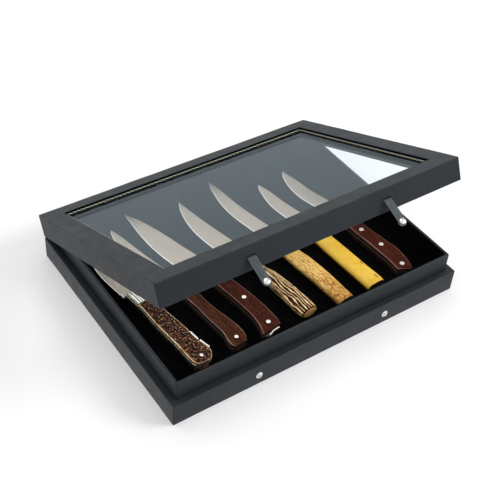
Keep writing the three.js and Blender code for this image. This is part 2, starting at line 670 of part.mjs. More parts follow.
// Base: plinth, bottom board, tray walls, foam, velvet pad and lining
function addBase(parent) {
  const studHoles = strapCentres.map((x) => {
    const length = 2 * (studPostLength + 0.5);
    return rod(snapPostRadius + snapClearance, length, 'y', [x, -caseDepth / 2, studHeightOnPlinth], 12);
  });
  const plinthProfile = [
    [0, 0], [0, plinthHeight - edgeChamfer], [edgeChamfer, plinthHeight],
    [ledgeWidth - glueGap, plinthHeight], [ledgeWidth - glueGap, 0],
  ];
  addFrame(parent, 'plinth_rail', plinthProfile, [caseWidth, caseDepth], [0, 0], glueGap, leatherette(), {
    front: (rail) => cut(rail, studHoles),
    back: (rail) => cut(rail, pilotHoles(-1, [hingeY, hingeZ])),
  });
  const [boardX, boardY] = [caseWidth / 2 - ledgeWidth, caseDepth / 2 - ledgeWidth];
  addMesh(parent, 'bottom_board', block(-boardX, boardX, -boardY, boardY, 0, bottomBoardThickness),
    finish(colours.board, 0.8));
  const wallFoot = bottomBoardThickness + glueGap;
  const wallProfile = [
    [0, wallFoot], [0, rimHeight - edgeChamfer / 2], [edgeChamfer / 2, rimHeight],
    [trayWallThickness, rimHeight], [trayWallThickness, wallFoot],
  ];
  addFrame(parent, 'tray_wall', wallProfile, [2 * boardX, 2 * boardY], [0, 0], glueGap, leatherette());
  const [padX, padY] = [caseWidth / 2 - trayInset - glueGap, caseDepth / 2 - trayInset - glueGap];
  const padFoot = floorHeight - velvetPadThickness;
  addMesh(parent, 'foam_core', block(-padX, padX, -padY, padY, wallFoot, padFoot - glueGap),
    finish(colours.foam, 0.95));
  addMesh(parent, 'velvet_pad', roundedPad(2 * padX, 2 * padY, velvetPadThickness).translate(0, 0, padFoot),
    finish(colours.velvet, 1));
  const liningHeight = rimHeight - liningSetDown - floorHeight - glueGap;
  const lining = frameRing(flatBar(liningThickness, liningHeight), [2 * padX, 2 * padY], [0, floorHeight + glueGap]);
  addMesh(parent, 'velvet_lining', lining, finish(colours.velvet, 1));
  addStuds(parent);
}

// A flat pad with its upper edge rolled over
function roundedPad(width, depth, height) {
  const ring = (shrink, z) => {
    const [x, y] = [width / 2 - shrink, depth / 2 - shrink];
    return [[-x, -y, z], [x, -y, z], [x, y, z], [-x, y, z]];
  };
  const rings = [ring(0, 0)];
  for (const angle of steps(0, 90, 3)) {
    const shrink = velvetPadRounding * (1 - Math.cos(angle * degrees));
    rings.push(ring(shrink, height - velvetPadRounding * (1 - Math.sin(angle * degrees))));
  }
  return loft(rings);
}

// Snap studs on the plinth's front face: a round flange, a bulged nub with an eye, and a post in the wood
function addStuds(parent) {
  const top = studFlangeThickness + studNubHeight;
  const neck = studNubRadius * 0.86;
  const profile = [
    [0, -studPostLength], [snapPostRadius, -studPostLength], [snapPostRadius, 0], [studFlangeRadius, 0],
    [studFlangeRadius, studFlangeThickness * 0.5], [studFlangeRadius * 0.9, studFlangeThickness],
    [neck, studFlangeThickness], [studNubRadius, top - 0.6], [studNubRadius * 0.9, top],
    [studEyeRadius, top], [studEyeRadius, studFlangeThickness], [0, studFlangeThickness],
  ];
  strapCentres.forEach((x, i) => {
    const stud = turned(profile).rotateX(Math.PI / 2);
    stud.translate(x, -caseDepth / 2 - glueGap, studHeightOnPlinth);
    addMesh(parent, `snap_stud_${sideNames[i]}`, stud, nickelPlate(0.25));
  });
}

// Lid: mitred rails with a skirt and a rebated roof, glass, bead, glazing strips and strap tails.
// The lid is drawn closed in the hinge's frame and turned open as a whole.
const lidCentreY = -hingeAxisOut - caseDepth / 2;
const lidFootZ = lidSeatGap / 2;
const lidFrontY = -hingeAxisOut - caseDepth;

function lidProfile() {
  const lipInset = lidFrameWidth;
  const rebateInset = lidFrameWidth - glassUnderLip;
  const lipHeight = lidHeight - lidLipThickness;
  const roofHeight = plinthHeight + trayWallRise + lidRimHeadroom - plinthHeight - lidSeatGap;
  const rebateFoot = lipHeight - lidGap - glassThickness - 1.1;
  const roofInnerInset = liningInset + 1.7;
  return [
    [0, 0], [0, lidHeight - edgeChamfer], [edgeChamfer, lidHeight],
    [lipInset - edgeChamfer, lidHeight], [lipInset, lidHeight - edgeChamfer], [lipInset, lipHeight],
    [rebateInset, lipHeight], [rebateInset, rebateFoot], [rebateInset - rebateWallThickness, rebateFoot],
    [roofInnerInset, roofHeight], [lidSkirtThickness, roofHeight], [lidSkirtThickness, 0],
  ];
}

function addLid(parent) {
  const slots = strapCentres.map((x) => {
    const half = strapWidth / 2 + strapSlotClearance;
    const rise = strapThickness / 2 + strapSlotClearance;
    const z = lidFootZ + strapSlotHeight;
    return block(x - half, x + half, lidFrontY - 1, lidFrontY + strapTailLength + 0.8, z - rise, z + rise);
  });
  addFrame(parent, 'lid_rail', lidProfile(), [caseWidth, caseDepth], [lidCentreY, lidFootZ], lidGap, leatherette(), {
    front: (rail) => cut(rail, slots),
    back: (rail) => cut(rail, pilotHoles(1, [0, 0])),
  });
  const glassInset = lidFrameWidth - glassUnderLip + lidGap;
  const glassTop = lidFootZ + lidHeight - lidLipThickness - lidGap;
  const glassFoot = glassTop - glassThickness;
  const [glassX, glassY] = [caseWidth / 2 - glassInset, caseDepth / 2 - glassInset];
  const glass = block(-glassX, glassX, lidCentreY - glassY, lidCentreY + glassY, glassFoot, glassTop);
  addMesh(parent, 'glass_pane', glass, finish(colours.glass, 0.05));
  const beadInset = lidFrameWidth + lidGap;
  const beadSize = [caseWidth - 2 * beadInset, caseDepth - 2 * beadInset];
  const bead = frameRing(flatBar(beadWidth, beadHeight), beadSize, [lidCentreY, glassTop + lidGap]);
  addMesh(parent, 'glass_bead', bead, finish(colours.bead, 0.4, 0.6));
  const stripWidth = lidFrameWidth - glassInset;
  const stripProfile = [
    [0, 0], [0, glazingStripHeight], [stripWidth, glazingStripHeight],
    [stripWidth, edgeChamfer], [stripWidth - edgeChamfer, 0],
  ];
  const stripFoot = glassFoot - lidGap - glazingStripHeight;
  const strip = frameRing(stripProfile, [2 * glassX, 2 * glassY], [lidCentreY, stripFoot]);
  addMesh(parent, 'glazing_frame', strip, finish(colours.velvet, 0.9));
  addHinges(parent, 1, 'lid');
  strapCentres.forEach((x, i) => {
    const z = lidFootZ + strapSlotHeight;
    const y = lidFrontY + 0.1;
    const [halfX, halfZ] = [strapWidth / 2, strapThickness / 2];
    const tail = block(x - halfX, x + halfX, y, y + strapTailLength, z - halfZ, z + halfZ);
    addMesh(parent, `strap_tail_${sideNames[i]}`, tail, finish(colours.strap, 0.6));
  });
}

// A strap in its own frame: it bends about the origin and reaches towards -Y, with its outer side up
function addStrap(parent, side, x) {
  const group = new THREE.Group();
  group.position.set(x, lidFrontY - strapPivotOut, lidFootZ + strapSlotHeight);
  group.rotation.x = strapRestAngle * degrees;
  const half = strapWidth / 2;
  const outline = new THREE.Shape();
  outline.moveTo(-half, 0);
  outline.lineTo(-half, -strapReach);
  outline.absarc(0, -strapReach, half, Math.PI, 2 * Math.PI, false);
  outline.lineTo(half, 0);
  const flat = new THREE.ExtrudeGeometry(outline, { depth: strapThickness, bevelEnabled: false, curveSegments: 9 });
  const root = rod(strapThickness / 2, strapWidth, 'x', [0, 0, 0], 12);
  const snapHole = rod(snapPostRadius + snapClearance, 4 * strapThickness, 'z', [0, -strapReach, 0], 12);
  const strap = cut(join([flat.translate(0, 0, -strapThickness / 2), root]), [snapHole]);
  addMesh(group, `strap_${side}`, strap, finish(colours.strap, 0.6));
  const face = strapThickness / 2 + snapClearance;
  const postEnd = -strapThickness - 2 * snapClearance - socketFlange;
  const capProfile = [
    [0, postEnd], [snapPostRadius, postEnd], [snapPostRadius, 0], [capRadius, 0], [capRadius, 0.5],
    [capRadius * 0.93, capDomeHeight * 0.55], [capRadius * 0.7, capDomeHeight * 0.86],
    [capRadius * 0.35, capDomeHeight * 0.98], [0, capDomeHeight],
  ];
  addMesh(group, `snap_cap_${side}`, turned(capProfile).translate(0, -strapReach, face),
    nickelPlate(0.15));
  const hole = snapPostRadius + snapClearance;
  const socketProfile = [
    [hole, 0], [hole, -socketFlange], [socketBoreRadius, -socketFlange], [socketBoreRadius, -socketHeight + 0.4],
    [socketBoreRadius + 0.3, -socketHeight], [socketRadius - 0.5, -socketHeight],
    [socketRadius, -socketHeight + 0.5], [socketRadius, 0], [hole, 0],
  ];
  addMesh(group, `snap_socket_${side}`, turned(socketProfile).translate(0, -strapReach, -face),
    nickelPlate());
  parent.add(group);
}

const group = new THREE.Group();
const lid = new THREE.Group();
const hingeFrame = new THREE.Group();
addBase(group);
addKnives(group);
hingeFrame.position.set(0, hingeY, hingeZ);
addHinges(hingeFrame, -1, 'base');
hingeCentres.forEach((x, i) => {
  const pin = rod(hingePinRadius, hingeLength + 1, 'x', [x, 0, 0]);
  addMesh(hingeFrame, `hinge_pin_${sideNames[i]}`, pin, nickelPlate());
});
group.add(hingeFrame);
lid.position.set(0, hingeY, hingeZ);
lid.rotation.x = -lidOpening * degrees;
addLid(lid);
strapCentres.forEach((x, i) => addStrap(lid, sideNames[i], x));
group.add(lid);

export default group;
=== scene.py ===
"""A knife display case with seven knives on velvet, under soft studio light.

Sizes are millimetres, turned into metres where a mesh is made. The front of the case faces -Y.
"""

import json
import math

import bmesh
import bpy
import numpy as np
from mathutils import Matrix, Vector, noise


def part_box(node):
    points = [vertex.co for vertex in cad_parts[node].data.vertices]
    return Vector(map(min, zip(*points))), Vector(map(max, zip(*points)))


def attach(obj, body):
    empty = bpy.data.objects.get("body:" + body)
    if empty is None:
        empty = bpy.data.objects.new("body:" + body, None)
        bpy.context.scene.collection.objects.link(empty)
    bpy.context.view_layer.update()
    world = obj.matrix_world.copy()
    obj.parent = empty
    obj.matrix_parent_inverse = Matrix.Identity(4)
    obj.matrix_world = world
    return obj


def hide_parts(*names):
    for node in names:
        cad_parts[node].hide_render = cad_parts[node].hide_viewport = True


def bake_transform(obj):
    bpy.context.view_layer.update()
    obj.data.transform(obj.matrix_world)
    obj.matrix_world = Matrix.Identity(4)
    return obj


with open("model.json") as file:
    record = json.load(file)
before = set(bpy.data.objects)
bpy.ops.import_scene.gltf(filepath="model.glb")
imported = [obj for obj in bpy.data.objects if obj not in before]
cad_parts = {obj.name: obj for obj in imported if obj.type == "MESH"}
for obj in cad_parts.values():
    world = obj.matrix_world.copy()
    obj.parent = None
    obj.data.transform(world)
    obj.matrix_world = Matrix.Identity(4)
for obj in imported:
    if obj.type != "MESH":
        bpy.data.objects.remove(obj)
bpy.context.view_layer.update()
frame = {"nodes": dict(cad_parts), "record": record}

MM = 0.001


def node_box(node):
    """Lowest and highest corner of a CAD node, in millimetres."""
    low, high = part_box(node)
    return np.array(low) / MM, np.array(high) / MM


def clamp(value):
    return max(0.0, min(1.0, value))


def moved(x, y, z):
    """The matrix of a move in millimetres."""
    return Matrix.Translation(Vector((x, y, z)) * MM)


# Sizes of the CAD model

CASE_WIDTH = 400.0
CASE_DEPTH = 2 * node_box("plinth_rail_back")[1][1]
PLINTH_HEIGHT = node_box("plinth_rail_front")[1][2]
RIM_HEIGHT = node_box("tray_wall_front")[1][2]
FLOOR_HEIGHT = node_box("velvet_pad")[1][2]
LEDGE = 8.3
WALL = 3.0
LINING_INSET = 12.3

JOINTS = {joint["name"]: joint for joint in frame["record"]["behaviour"]["joints"]}
HINGE = Vector(JOINTS["lid_hinge"]["pos_m"])
LID_OPENING = math.radians(23.8)
LID = Matrix.Translation(HINGE) @ Matrix.Rotation(-LID_OPENING, 4, "X")
HINGE_OUT = HINGE.y / MM - CASE_DEPTH / 2
LID_CENTRE_Y = -HINGE_OUT - CASE_DEPTH / 2
LID_FRONT_Y = -HINGE_OUT - CASE_DEPTH
LID_FOOT = 0.15
LID_HEIGHT = 28.5
SKIRT = 6.5
LID_FRAME = 24.0
LIP_FOOT = 24.5
REBATE = 19.8
REBATE_FOOT = 20.1
ROOF_FOOT = 25.5
GLASS_INSET = 20.1
GLASS_TOP = 24.2
GLASS_THICKNESS = 3.0

STRAP_X = 90.0
SLOT_HEIGHT = 14.2
STRAP_WIDTH = 10.0
STRAP_THICKNESS = 1.6
STRAP_PIVOT_OUT = 1.1
STRAP_REACH = 29.8
STRAP_ANGLE = math.radians(45)
STUD_HEIGHT = 14.5

KNIFE_PITCH = 47.5
SIDE_ROOM = 45.2
INSIDE_WIDTH = 6 * KNIFE_PITCH + 2 * SIDE_ROOM
PIECE_GAP = 0.3
PIN_PROUD = 0.25


# Camera, at the photograph's place

CAMERA_PLACE = Vector((-0.53037, -0.69621, 0.85158))
CAMERA_FORWARD = Vector((0.44351, 0.58231, -0.68133))
CAMERA_UP = Vector((0.34773, 0.58884, 0.72962))
CAMERA_LENS = 70.734


def add_camera():
    data = bpy.data.cameras.new("camera")
    data.lens = CAMERA_LENS
    data.sensor_width = 36
    data.clip_start = 0.05
    camera = bpy.data.objects.new("camera", data)
    forward = CAMERA_FORWARD.normalized()
    right = forward.cross(CAMERA_UP).normalized()
    turn = Matrix((right, right.cross(forward), -forward)).transposed().to_4x4()
    camera.matrix_world = Matrix.Translation(CAMERA_PLACE) @ turn
    bpy.context.collection.objects.link(camera)
    bpy.context.scene.camera = camera


# Materials


def srgb(*levels):
    """A linear colour from screen levels between 0 and 255."""
    shares = [level / 255 for level in levels]
    return tuple(v / 12.92 if v <= 0.04045 else ((v + 0.055) / 1.055) ** 2.4 for v in shares)


def toned(colour, gain):
    return tuple(gain * c for c in colour)


class Tree:
    """A node tree with short ways to add to it."""

    def __init__(self, tree):
        self.nodes = tree.nodes
        self.links = tree.links

    def put(self, socket, value):
        """Links an output to a socket, or sets the socket's constant."""
        if isinstance(value, bpy.types.NodeSocket):
            self.links.new(value, socket)
        else:
            socket.default_value = (*value, 1.0) if socket.type == "RGBA" else value

    def node(self, kind, settings=None, **inputs):
        made = self.nodes.new(kind)
        for key, value in (settings or {}).items():
            setattr(made, key, value)
        for key, value in inputs.items():
            self.put(made.inputs[key.replace("_", " ")], value)
        return made

    def math(self, operation, a, b=0.0):
        made = self.node("ShaderNodeMath", {"operation": operation})
        self.put(made.inputs[0], a)
        self.put(made.inputs[1], b)
        return made.outputs[0]

    def add(self, a, b):
        return self.math("ADD", a, b)

    def times(self, a, b):
        return self.math("MULTIPLY", a, b)

    def swing(self, value, gain):
        """A value between 0 and 1, moved to lie around 0, times a gain."""
        return self.times(self.math("SUBTRACT", value, 0.5), gain)

    def map(self, value, low, high, to_low, to_high):
        made = self.node("ShaderNodeMapRange", Value=value, From_Min=low, From_Max=high, To_Min=to_low,
                         To_Max=to_high)
        return made.outputs["Result"]

    def rays(self, *kinds):
        """1 for light rays of any of these kinds."""
        path = self.node("ShaderNodeLightPath").outputs
        value = path[f"Is {kinds[0]} Ray"]
        for kind in kinds[1:]:
            value = self.math("MAXIMUM", value, path[f"Is {kind} Ray"])
        return value


class Look(Tree):
    """A node material and its slot, which has the same name if no other is given."""

    def __init__(self, name, slot=None, roughness=0.5, metallic=0.0, specular=0.5):
        self.slot = slot or name
        self.material = bpy.data.materials.new(name)
        self.material.use_nodes = True
        super().__init__(self.material.node_tree)
        self.shader = self.nodes["Principled BSDF"]
        self.set("Roughness", roughness)
        self.set("Metallic", metallic)
        self.set("Specular IOR Level", specular)
        self.coordinates = self.nodes.new("ShaderNodeTexCoord").outputs["Object"]

    def set(self, name, value):
        self.put(self.shader.inputs[name], value)

    def colour(self, value):
        self.set("Base Color", value)

    def rough(self, value, smoothest, roughest, low=0.3, high=0.7):
        self.set("Roughness", self.map(value, low, high, smoothest, roughest))

    def place(self, scale):
        """A texture's inputs; a scale in three parts stretches it."""
        if not isinstance(scale, tuple):
            return {"Vector": self.coordinates, "Scale": scale}
        stretched = self.node("ShaderNodeMapping", Vector=self.coordinates, Scale=scale)
        return {"Vector": stretched.outputs[0], "Scale": 1.0}

    def noise(self, scale, detail=4.0, roughness=0.55, distortion=0.0):
        made = self.node("ShaderNodeTexNoise", Detail=detail, Roughness=roughness, Distortion=distortion,
                         **self.place(scale))
        return made.outputs["Fac"]

    def cells(self, scale):
        return self.node("ShaderNodeTexVoronoi", **self.place(scale)).outputs["Distance"]

    def attribute(self, name):
        return self.node("ShaderNodeAttribute", {"attribute_name": name}).outputs["Fac"]

    def ramp(self, value, *stops):
        made = self.node("ShaderNodeValToRGB", Fac=value)
        elements = made.color_ramp.elements
        while len(elements) < len(stops):
            elements.new(0.5)
        for element, (place, colour) in zip(elements, stops):
            element.position = place
            element.color = (*colour, 1.0)
        return made.outputs["Color"]

    def mix(self, share, a, b):
        made = self.node("ShaderNodeMix", {"data_type": "RGBA"})
        for index, value in ((0, share), (6, a), (7, b)):
            self.put(made.inputs[index], value)
        return made.outputs[2]

    def bump(self, height, distance, strength, over=None):
        """Bumps the surface, on top of another bump if one is given."""
        made = self.node("ShaderNodeBump", Height=height, Distance=distance, Strength=strength)
        if over is not None:
            self.put(made.inputs["Normal"], over)
        self.set("Normal", made.outputs[0])
        return made.outputs[0]

    def pebbles(self, scale, distance, strength):
        return self.bump(self.map(self.cells(scale), 0.0, 0.6, 1.0, 0.0), distance, strength)

    def blend_shaders(self, share, first, second):
        mixed = self.node("ShaderNodeMixShader", Fac=share)
        self.put(mixed.inputs[1], first.outputs[0])
        self.put(mixed.inputs[2], second.outputs[0])
        self.put(self.nodes["Material Output"].inputs["Surface"], mixed.outputs[0])


def leatherette():
    """Grained imitation leather: fine pebbles, slow changes of tone, and edges worn paler."""
    look = Look("charcoal_leatherette", "leatherette", specular=0.17)
    charcoal = (0.018, 0.0225, 0.0275)
    base = look.ramp(look.noise(22), (0.3, toned(charcoal, 0.92)), (0.72, toned(charcoal, 1.08)))
    wear_and_highlight = look.times(look.attribute("edge"), look.map(look.noise(90, 5), 0.35, 0.75, 0.1, 0.75))
    look.colour(look.mix(wear_and_highlight, base, (0.06, 0.068, 0.076)))
    look.rough(look.noise(60), 0.44, 0.54)
    look.bump(look.noise(2600, 3), 0.00006, 0.6, over=look.pebbles(950, 0.00016, 0.8))
    return look


def velvet():
    """Short black pile: soft lighter patches where it lies over, and a faint sheen."""
    look = Look("black_velvet", "velvet", roughness=1.0, specular=0.03)
    lie = look.noise(38, 5, 0.6)
    look.colour(look.ramp(lie, (0.3, (0.0005, 0.0005, 0.0006)), (0.75, (0.0024, 0.0024, 0.0028))))
    look.set("Sheen Weight", 0.008)
    look.set("Sheen Roughness", 0.5)
    look.bump(look.noise(2400, 2), 0.0003, 0.7)
    return look


def plain_board():
    look = Look("bottom_board", "board", roughness=0.85)
    look.colour(look.ramp(look.noise(55, 6, 0.7), (0.3, (0.014, 0.014, 0.015)), (0.7, (0.03, 0.03, 0.032))))
    look.bump(look.noise(900), 0.0002, 0.5)
    return look


def window_glass():
    """A clear pane whose reflections grow towards grazing angles, with a thin film of dust."""
    look = Look("window_glass", "glass", roughness=0.04, metallic=1.0)
    smear = look.noise(9)
    look.colour(look.ramp(smear, (0.3, (0.70, 0.85, 0.94)), (0.7, (0.74, 0.89, 0.98))))
    look.rough(smear, 0.02, 0.05)
    clear = look.node("ShaderNodeBsdfTransparent", Color=(0.955, 0.975, 0.985))
    facing = look.node("ShaderNodeLayerWeight", Blend=0.5).outputs["Facing"]
    share = look.map(look.math("POWER", facing, 3.4), 0.0, 1.0, 0.02, 0.30)
    look.blend_shaders(share, clear, look.shader)
    return look


def blade_steel(name, colour, roughness):
    """Satin steel, scratched along the blade. Relief marks the tang, darkened as painted shade, and edge the
    cutting edge, lightened as a painted highlight.
    """
    look = Look(name, "blade_steel", roughness=roughness, metallic=1.0)
    scratch = look.noise((2600, 60, 2600), 5, 0.6)
    grit = look.noise(900, 4, 0.8)
    stain = look.add(look.times(look.noise(60, 2), 0.12), look.times(grit, 0.88))
    clean = look.ramp(stain, (0.38, toned(colour, 0.62)), (0.6, toned(colour, 1.08)))
    # Painted highlight: the cutting edge and the corner of the back are mixed to a paler steel.
    steel_edge_highlighted = look.mix(look.map(look.attribute("edge"), 0.3, 0.55, 0.0, 1.0), clean, (0.80, 0.78, 0.73))
    # Painted shade: where relief is 1, the tang is mixed to near-black steel.
    look.colour(look.mix(look.attribute("relief"), steel_edge_highlighted, (0.11, 0.10, 0.09)))
    look.rough(scratch, roughness - 0.06, roughness + 0.12)
    look.bump(look.add(scratch, grit), 0.00003, 0.5)
    return look


def plated_metal(name, slot, colour, roughness, metallic=1.0):
    """Bright plating with faint handling marks; a lower metallic value makes it less metallic, as on the
    liner darkened as painted shade.
    """
    look = Look(name, slot, roughness=roughness, metallic=metallic)
    marks = look.noise(320, 5, 0.65)
    look.colour(look.ramp(look.noise(140), (0.28, toned(colour, 0.7)), (0.6, colour)))
    look.rough(marks, roughness, roughness + 0.16, high=0.75)
    look.bump(marks, 0.00002, 0.4)
    return look


def engraved_nickel():
    """Nickel silver, black where it is engraved: relief is the height that is left."""
    look = Look("engraved_nickel", "nickel", roughness=0.3, metallic=1.0)
    marks = look.noise(500, 4, 0.6)
    clean = look.ramp(marks, (0.3, (0.46, 0.44, 0.38)), (0.6, (0.80, 0.78, 0.70)))
    look.colour(look.mix(look.attribute("relief"), (0.012, 0.010, 0.008), clean))
    look.rough(marks, 0.25, 0.42)
    return look


def strap_leather():
    look = Look("strap_leather", specular=0.3)
    base = look.ramp(look.noise(120, 5), (0.3, srgb(52, 60, 63)), (0.7, srgb(70, 78, 81)))
    # Painted highlight: the strap's sides and rounded tip are mixed to a paler grey.
    look.colour(look.mix(look.times(look.attribute("edge"), 0.6), base, srgb(92, 98, 102)))
    look.bump(look.noise(400), 0.0001, 0.4, over=look.pebbles(1500, 0.0001, 0.6))
    return look


def antler(name, colours, shade, fibres, grain, cloud):
    """Stag horn: relief colours furrows dark and crowns pale, and edge marks the underside, mixed towards the
    shade colour as painted shade.
    """
    look = Look(name, roughness=0.45, specular=0.2)
    relief = look.attribute("relief")
    height = look.add(relief, look.swing(look.noise(fibres, 5, 0.6), grain))
    height = look.add(height, look.swing(look.noise(90), cloud))
    # Painted shade: the underside and the butt's end face take the shade colour.
    look.colour(look.mix(look.attribute("edge"), look.ramp(height, *colours), shade))
    look.rough(relief, 0.7, 0.4, low=0.0, high=1.0)
    look.bump(height, 0.0002, 0.7)
    return look


def jigged_stag():
    """Dark jigged horn: cells of tan and red-brown in near-black cuts. Edge is 1 on the pale uncut flanks and
    2 at their feet, which are painted black as the shade of the gap below them."""
    look = Look("brown_stag", specular=0.12)
    fibre = look.swing(look.noise((1500, 620, 1500), 5, 0.75), 2.6)
    cells = look.times(look.cells((1150, 520, 1150)), 0.8)
    cut = look.add(look.math("SUBTRACT", look.attribute("relief"), cells), fibre)
    top = look.ramp(cut, (0.1, srgb(14, 6, 4)), (0.42, srgb(62, 26, 14)), (0.68, srgb(120, 64, 36)),
                    (0.95, srgb(240, 200, 156)))
    stain = look.noise((300, 90, 300), 3, 0.6)
    flank = look.ramp(stain, (0.38, srgb(232, 158, 74)), (0.56, srgb(255, 244, 204)))
    edge = look.attribute("edge")
    shown = look.mix(look.map(edge, 0.0, 1.0, 0.0, 1.0), top, flank)
    # Painted shade: edge above 1.25 turns the flank's foot black.
    look.colour(look.mix(look.map(edge, 1.25, 1.6, 0.0, 1.0), shown, srgb(10, 6, 4)))
    look.bump(cut, 0.0003, 0.8)
    return look


def bone():
    """Dyed bone, polished, with fine long pores and a few dark nicks."""
    look = Look("yellow_bone", roughness=0.4, specular=0.25)
    pore = look.noise((1300, 110, 1300), 4, 0.6)
    fleck = look.noise((700, 260, 700), 3, 0.6)
    cloud = look.noise(55, 5, 0.6)
    base = look.ramp(cloud, (0.3, srgb(238, 186, 56)), (0.55, srgb(248, 204, 74)),
                     (0.8, srgb(254, 216, 100)))
    warm = look.mix(look.map(fleck, 0.52, 0.66, 0.0, 0.55), base, srgb(236, 168, 60))
    marked = look.mix(look.map(pore, 0.3, 0.42, 0.5, 0.0), warm, srgb(190, 120, 30))
    nicked = look.mix(look.attribute("relief"), marked, srgb(70, 36, 12))
    # Painted shade: edge darkens the underside and the butt's end face.
    look.colour(look.mix(look.attribute("edge"), nicked, srgb(44, 24, 6)))
    look.bump(pore, 0.00006, 0.6)
    return look


def oiled_wood(name, dark, light, wear_and_highlight):
    """Dense dark wood with stretched grain and open pores. Its edges are lightened as a painted highlight and
    its sides are painted black as shade: edge is 0 on top, half at the top's edge and 1 on the sides."""
    look = Look(name, specular=0.05)
    grain = look.noise((420, 40, 420), 6, 0.62, distortion=0.6)
    mottle = look.noise((900, 380, 900), 5, 0.7)
    pores = look.noise((2600, 240, 2600), 3, 0.5)
    base = look.ramp(look.add(look.times(grain, 0.4), look.times(mottle, 0.6)), (0.43, dark), (0.57, light))
    black = toned(dark, 0.2)
    open_pores = look.mix(look.map(pores, 0.3, 0.42, 0.8, 0.0), base, black)
    edge = look.attribute("edge")
    patch = look.map(look.noise(60, 3), 0.35, 0.6, 0.4, 1.0)
    # Painted highlight: a patchy pale colour along the top's edges.
    wood_edge_highlighted = look.mix(look.times(look.map(edge, 0.1, 0.5, 0.0, 1.0), patch), open_pores, wear_and_highlight)
    # Painted shade: the sides are mixed to near-black.
    look.colour(look.mix(look.map(edge, 0.6, 1.0, 0.0, 0.9), wood_edge_highlighted, black))
    look.rough(grain, 0.6, 0.44)
    look.bump(look.add(pores, mottle), 0.0001, 0.7)
    return look


def mosaic_pin(reach):
    """A pale pin with a dark centre and a ring, drawn by the share of its reach from the axis."""
    look = Look("mosaic_pin", "nickel", roughness=0.3, metallic=0.5)
    x, y, _ = look.node("ShaderNodeSeparateXYZ", Vector=look.coordinates).outputs
    distance = look.math("SQRT", look.add(look.times(x, x), look.times(y, y)))
    share = look.add(look.times(distance, 1 / (MM * reach)), look.swing(look.noise(900), 0.15))
    look.colour(look.ramp(share, (0.16, srgb(120, 84, 78)), (0.26, srgb(246, 232, 226)),
                          (0.72, srgb(250, 240, 234)), (0.8, srgb(196, 168, 158)),
                          (0.92, srgb(240, 230, 222))))
    return look


def gilt_bead():
    """Silver-gilt, gone olive between the turns of the rope: relief is 1 on the crowns."""
    look = Look("gilt_bead", roughness=0.45, metallic=0.5)
    height = look.add(look.attribute("relief"), look.swing(look.noise(700), 0.6))
    look.colour(look.ramp(height, (0.25, srgb(24, 24, 18)), (0.55, srgb(92, 94, 80)),
                          (0.85, srgb(190, 190, 168))))
    look.bump(height, 0.0001, 0.6)
    return look


COVER = leatherette()
VELVET = velvet()
STEEL = blade_steel("satin_steel", (0.50, 0.412, 0.333), 0.56)
# Painted shade: a darker copy of the blade steel for knife 1, whose blade lies partly under the lid.
SHADED_STEEL = blade_steel("shaded_steel", (0.36, 0.325, 0.27), 0.5)
NICKEL = plated_metal("nickel_plate", "nickel", (0.74, 0.73, 0.70), 0.16)
PIN = plated_metal("pin_metal", "nickel", (0.93, 0.88, 0.82), 0.34)
BRASS = plated_metal("brass", "liner_brass", (0.92, 0.88, 0.72), 0.24)
# Painted shade: a near-black, less metallic copy of the brass, for knife 1's lower liner.
SHADED_BRASS = plated_metal("shaded_brass", "liner_brass", (0.02, 0.017, 0.012), 0.6, 0.3)
DULL = plated_metal("dull_nickel", "nickel", (0.42, 0.37, 0.30), 0.42)


# Mesh helpers: a shell is a list of vertices and a list of faces


def mesh_object(name, shell):
    """An object from a shell in millimetres, its faces turned outwards."""
    vertices, faces = shell
    mesh = bpy.data.meshes.new(name)
    mesh.from_pydata([tuple(MM * float(c) for c in v) for v in vertices], [], faces)
    solid = bmesh.new()
    solid.from_mesh(mesh)
    bmesh.ops.recalc_face_normals(solid, faces=solid.faces)
    solid.to_mesh(mesh)
    solid.free()
    made = bpy.data.objects.new(name, mesh)
    bpy.context.collection.objects.link(made)
    return made


def piece(name, shell, look, body, matrix=Matrix(), replaces=(), sharp=35.0, **attributes):
    """A visible piece, smooth below the sharp angle. Each attribute has a number for each vertex."""
    made = mesh_object(name, shell)
    mesh = made.data
    for key, values in attributes.items():
        attribute = mesh.attributes.new(key, "FLOAT", "POINT")
        attribute.data.foreach_set("value", np.array(values, np.float32))
    mesh.materials.append(look.material)
    mesh.shade_smooth()
    mesh.set_sharp_from_angle(angle=math.radians(sharp))
    made.matrix_world = matrix
    if replaces:
        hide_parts(*replaces)
    if body:
        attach(made, body)
    return made


def skin(rings, looped=False):
    """The shell of a tube through rings of equally many points, capped unless it closes on itself."""
    count = len(rings[0])
    vertices = [point for ring in rings for point in ring]
    faces = []
    for r in range(len(rings) if looped else len(rings) - 1):
        here, there = r * count, (r + 1) % len(rings) * count
        for i in range(count):
            j = (i + 1) % count
            faces.append((here + i, here + j, there + j, there + i))
    if not looped:
        faces += [tuple(range(count))[::-1], tuple(range(len(vertices) - count, len(vertices)))]
    return vertices, faces


def lathe(profile, sides=48):
    """The shell of a solid turned round Z, from circles [radius, height], flat at both ends."""
    turns = [2 * math.pi * i / sides for i in range(sides)]
    return skin([[(radius * math.cos(a), radius * math.sin(a), z) for a in turns] for radius, z in profile])


def corners(x0, x1, y0, y1):
    return [(x0, y0), (x1, y0), (x1, y1), (x0, y1)]


def rounded(profile, radii, steps=4):
    """A closed profile with its corners rounded: points, and for each how much of an edge it is."""
    points, edges = [], []
    most = 0.45
    for i, radius in enumerate(np.broadcast_to(radii, len(profile))):
        corner = Vector(profile[i])
        before = Vector(profile[i - 1]) - corner
        after = Vector(profile[(i + 1) % len(profile)]) - corner
        reach = min(radius, most * before.length, most * after.length)
        start = corner + before.normalized() * reach
        end = corner + after.normalized() * reach
        for k in range(steps + 1):
            t = k / steps
            points.append(tuple(start * (1 - t) ** 2 + corner * 2 * t * (1 - t) + end * t * t))
            edges.append(4 * t * (1 - t))
    return points, edges


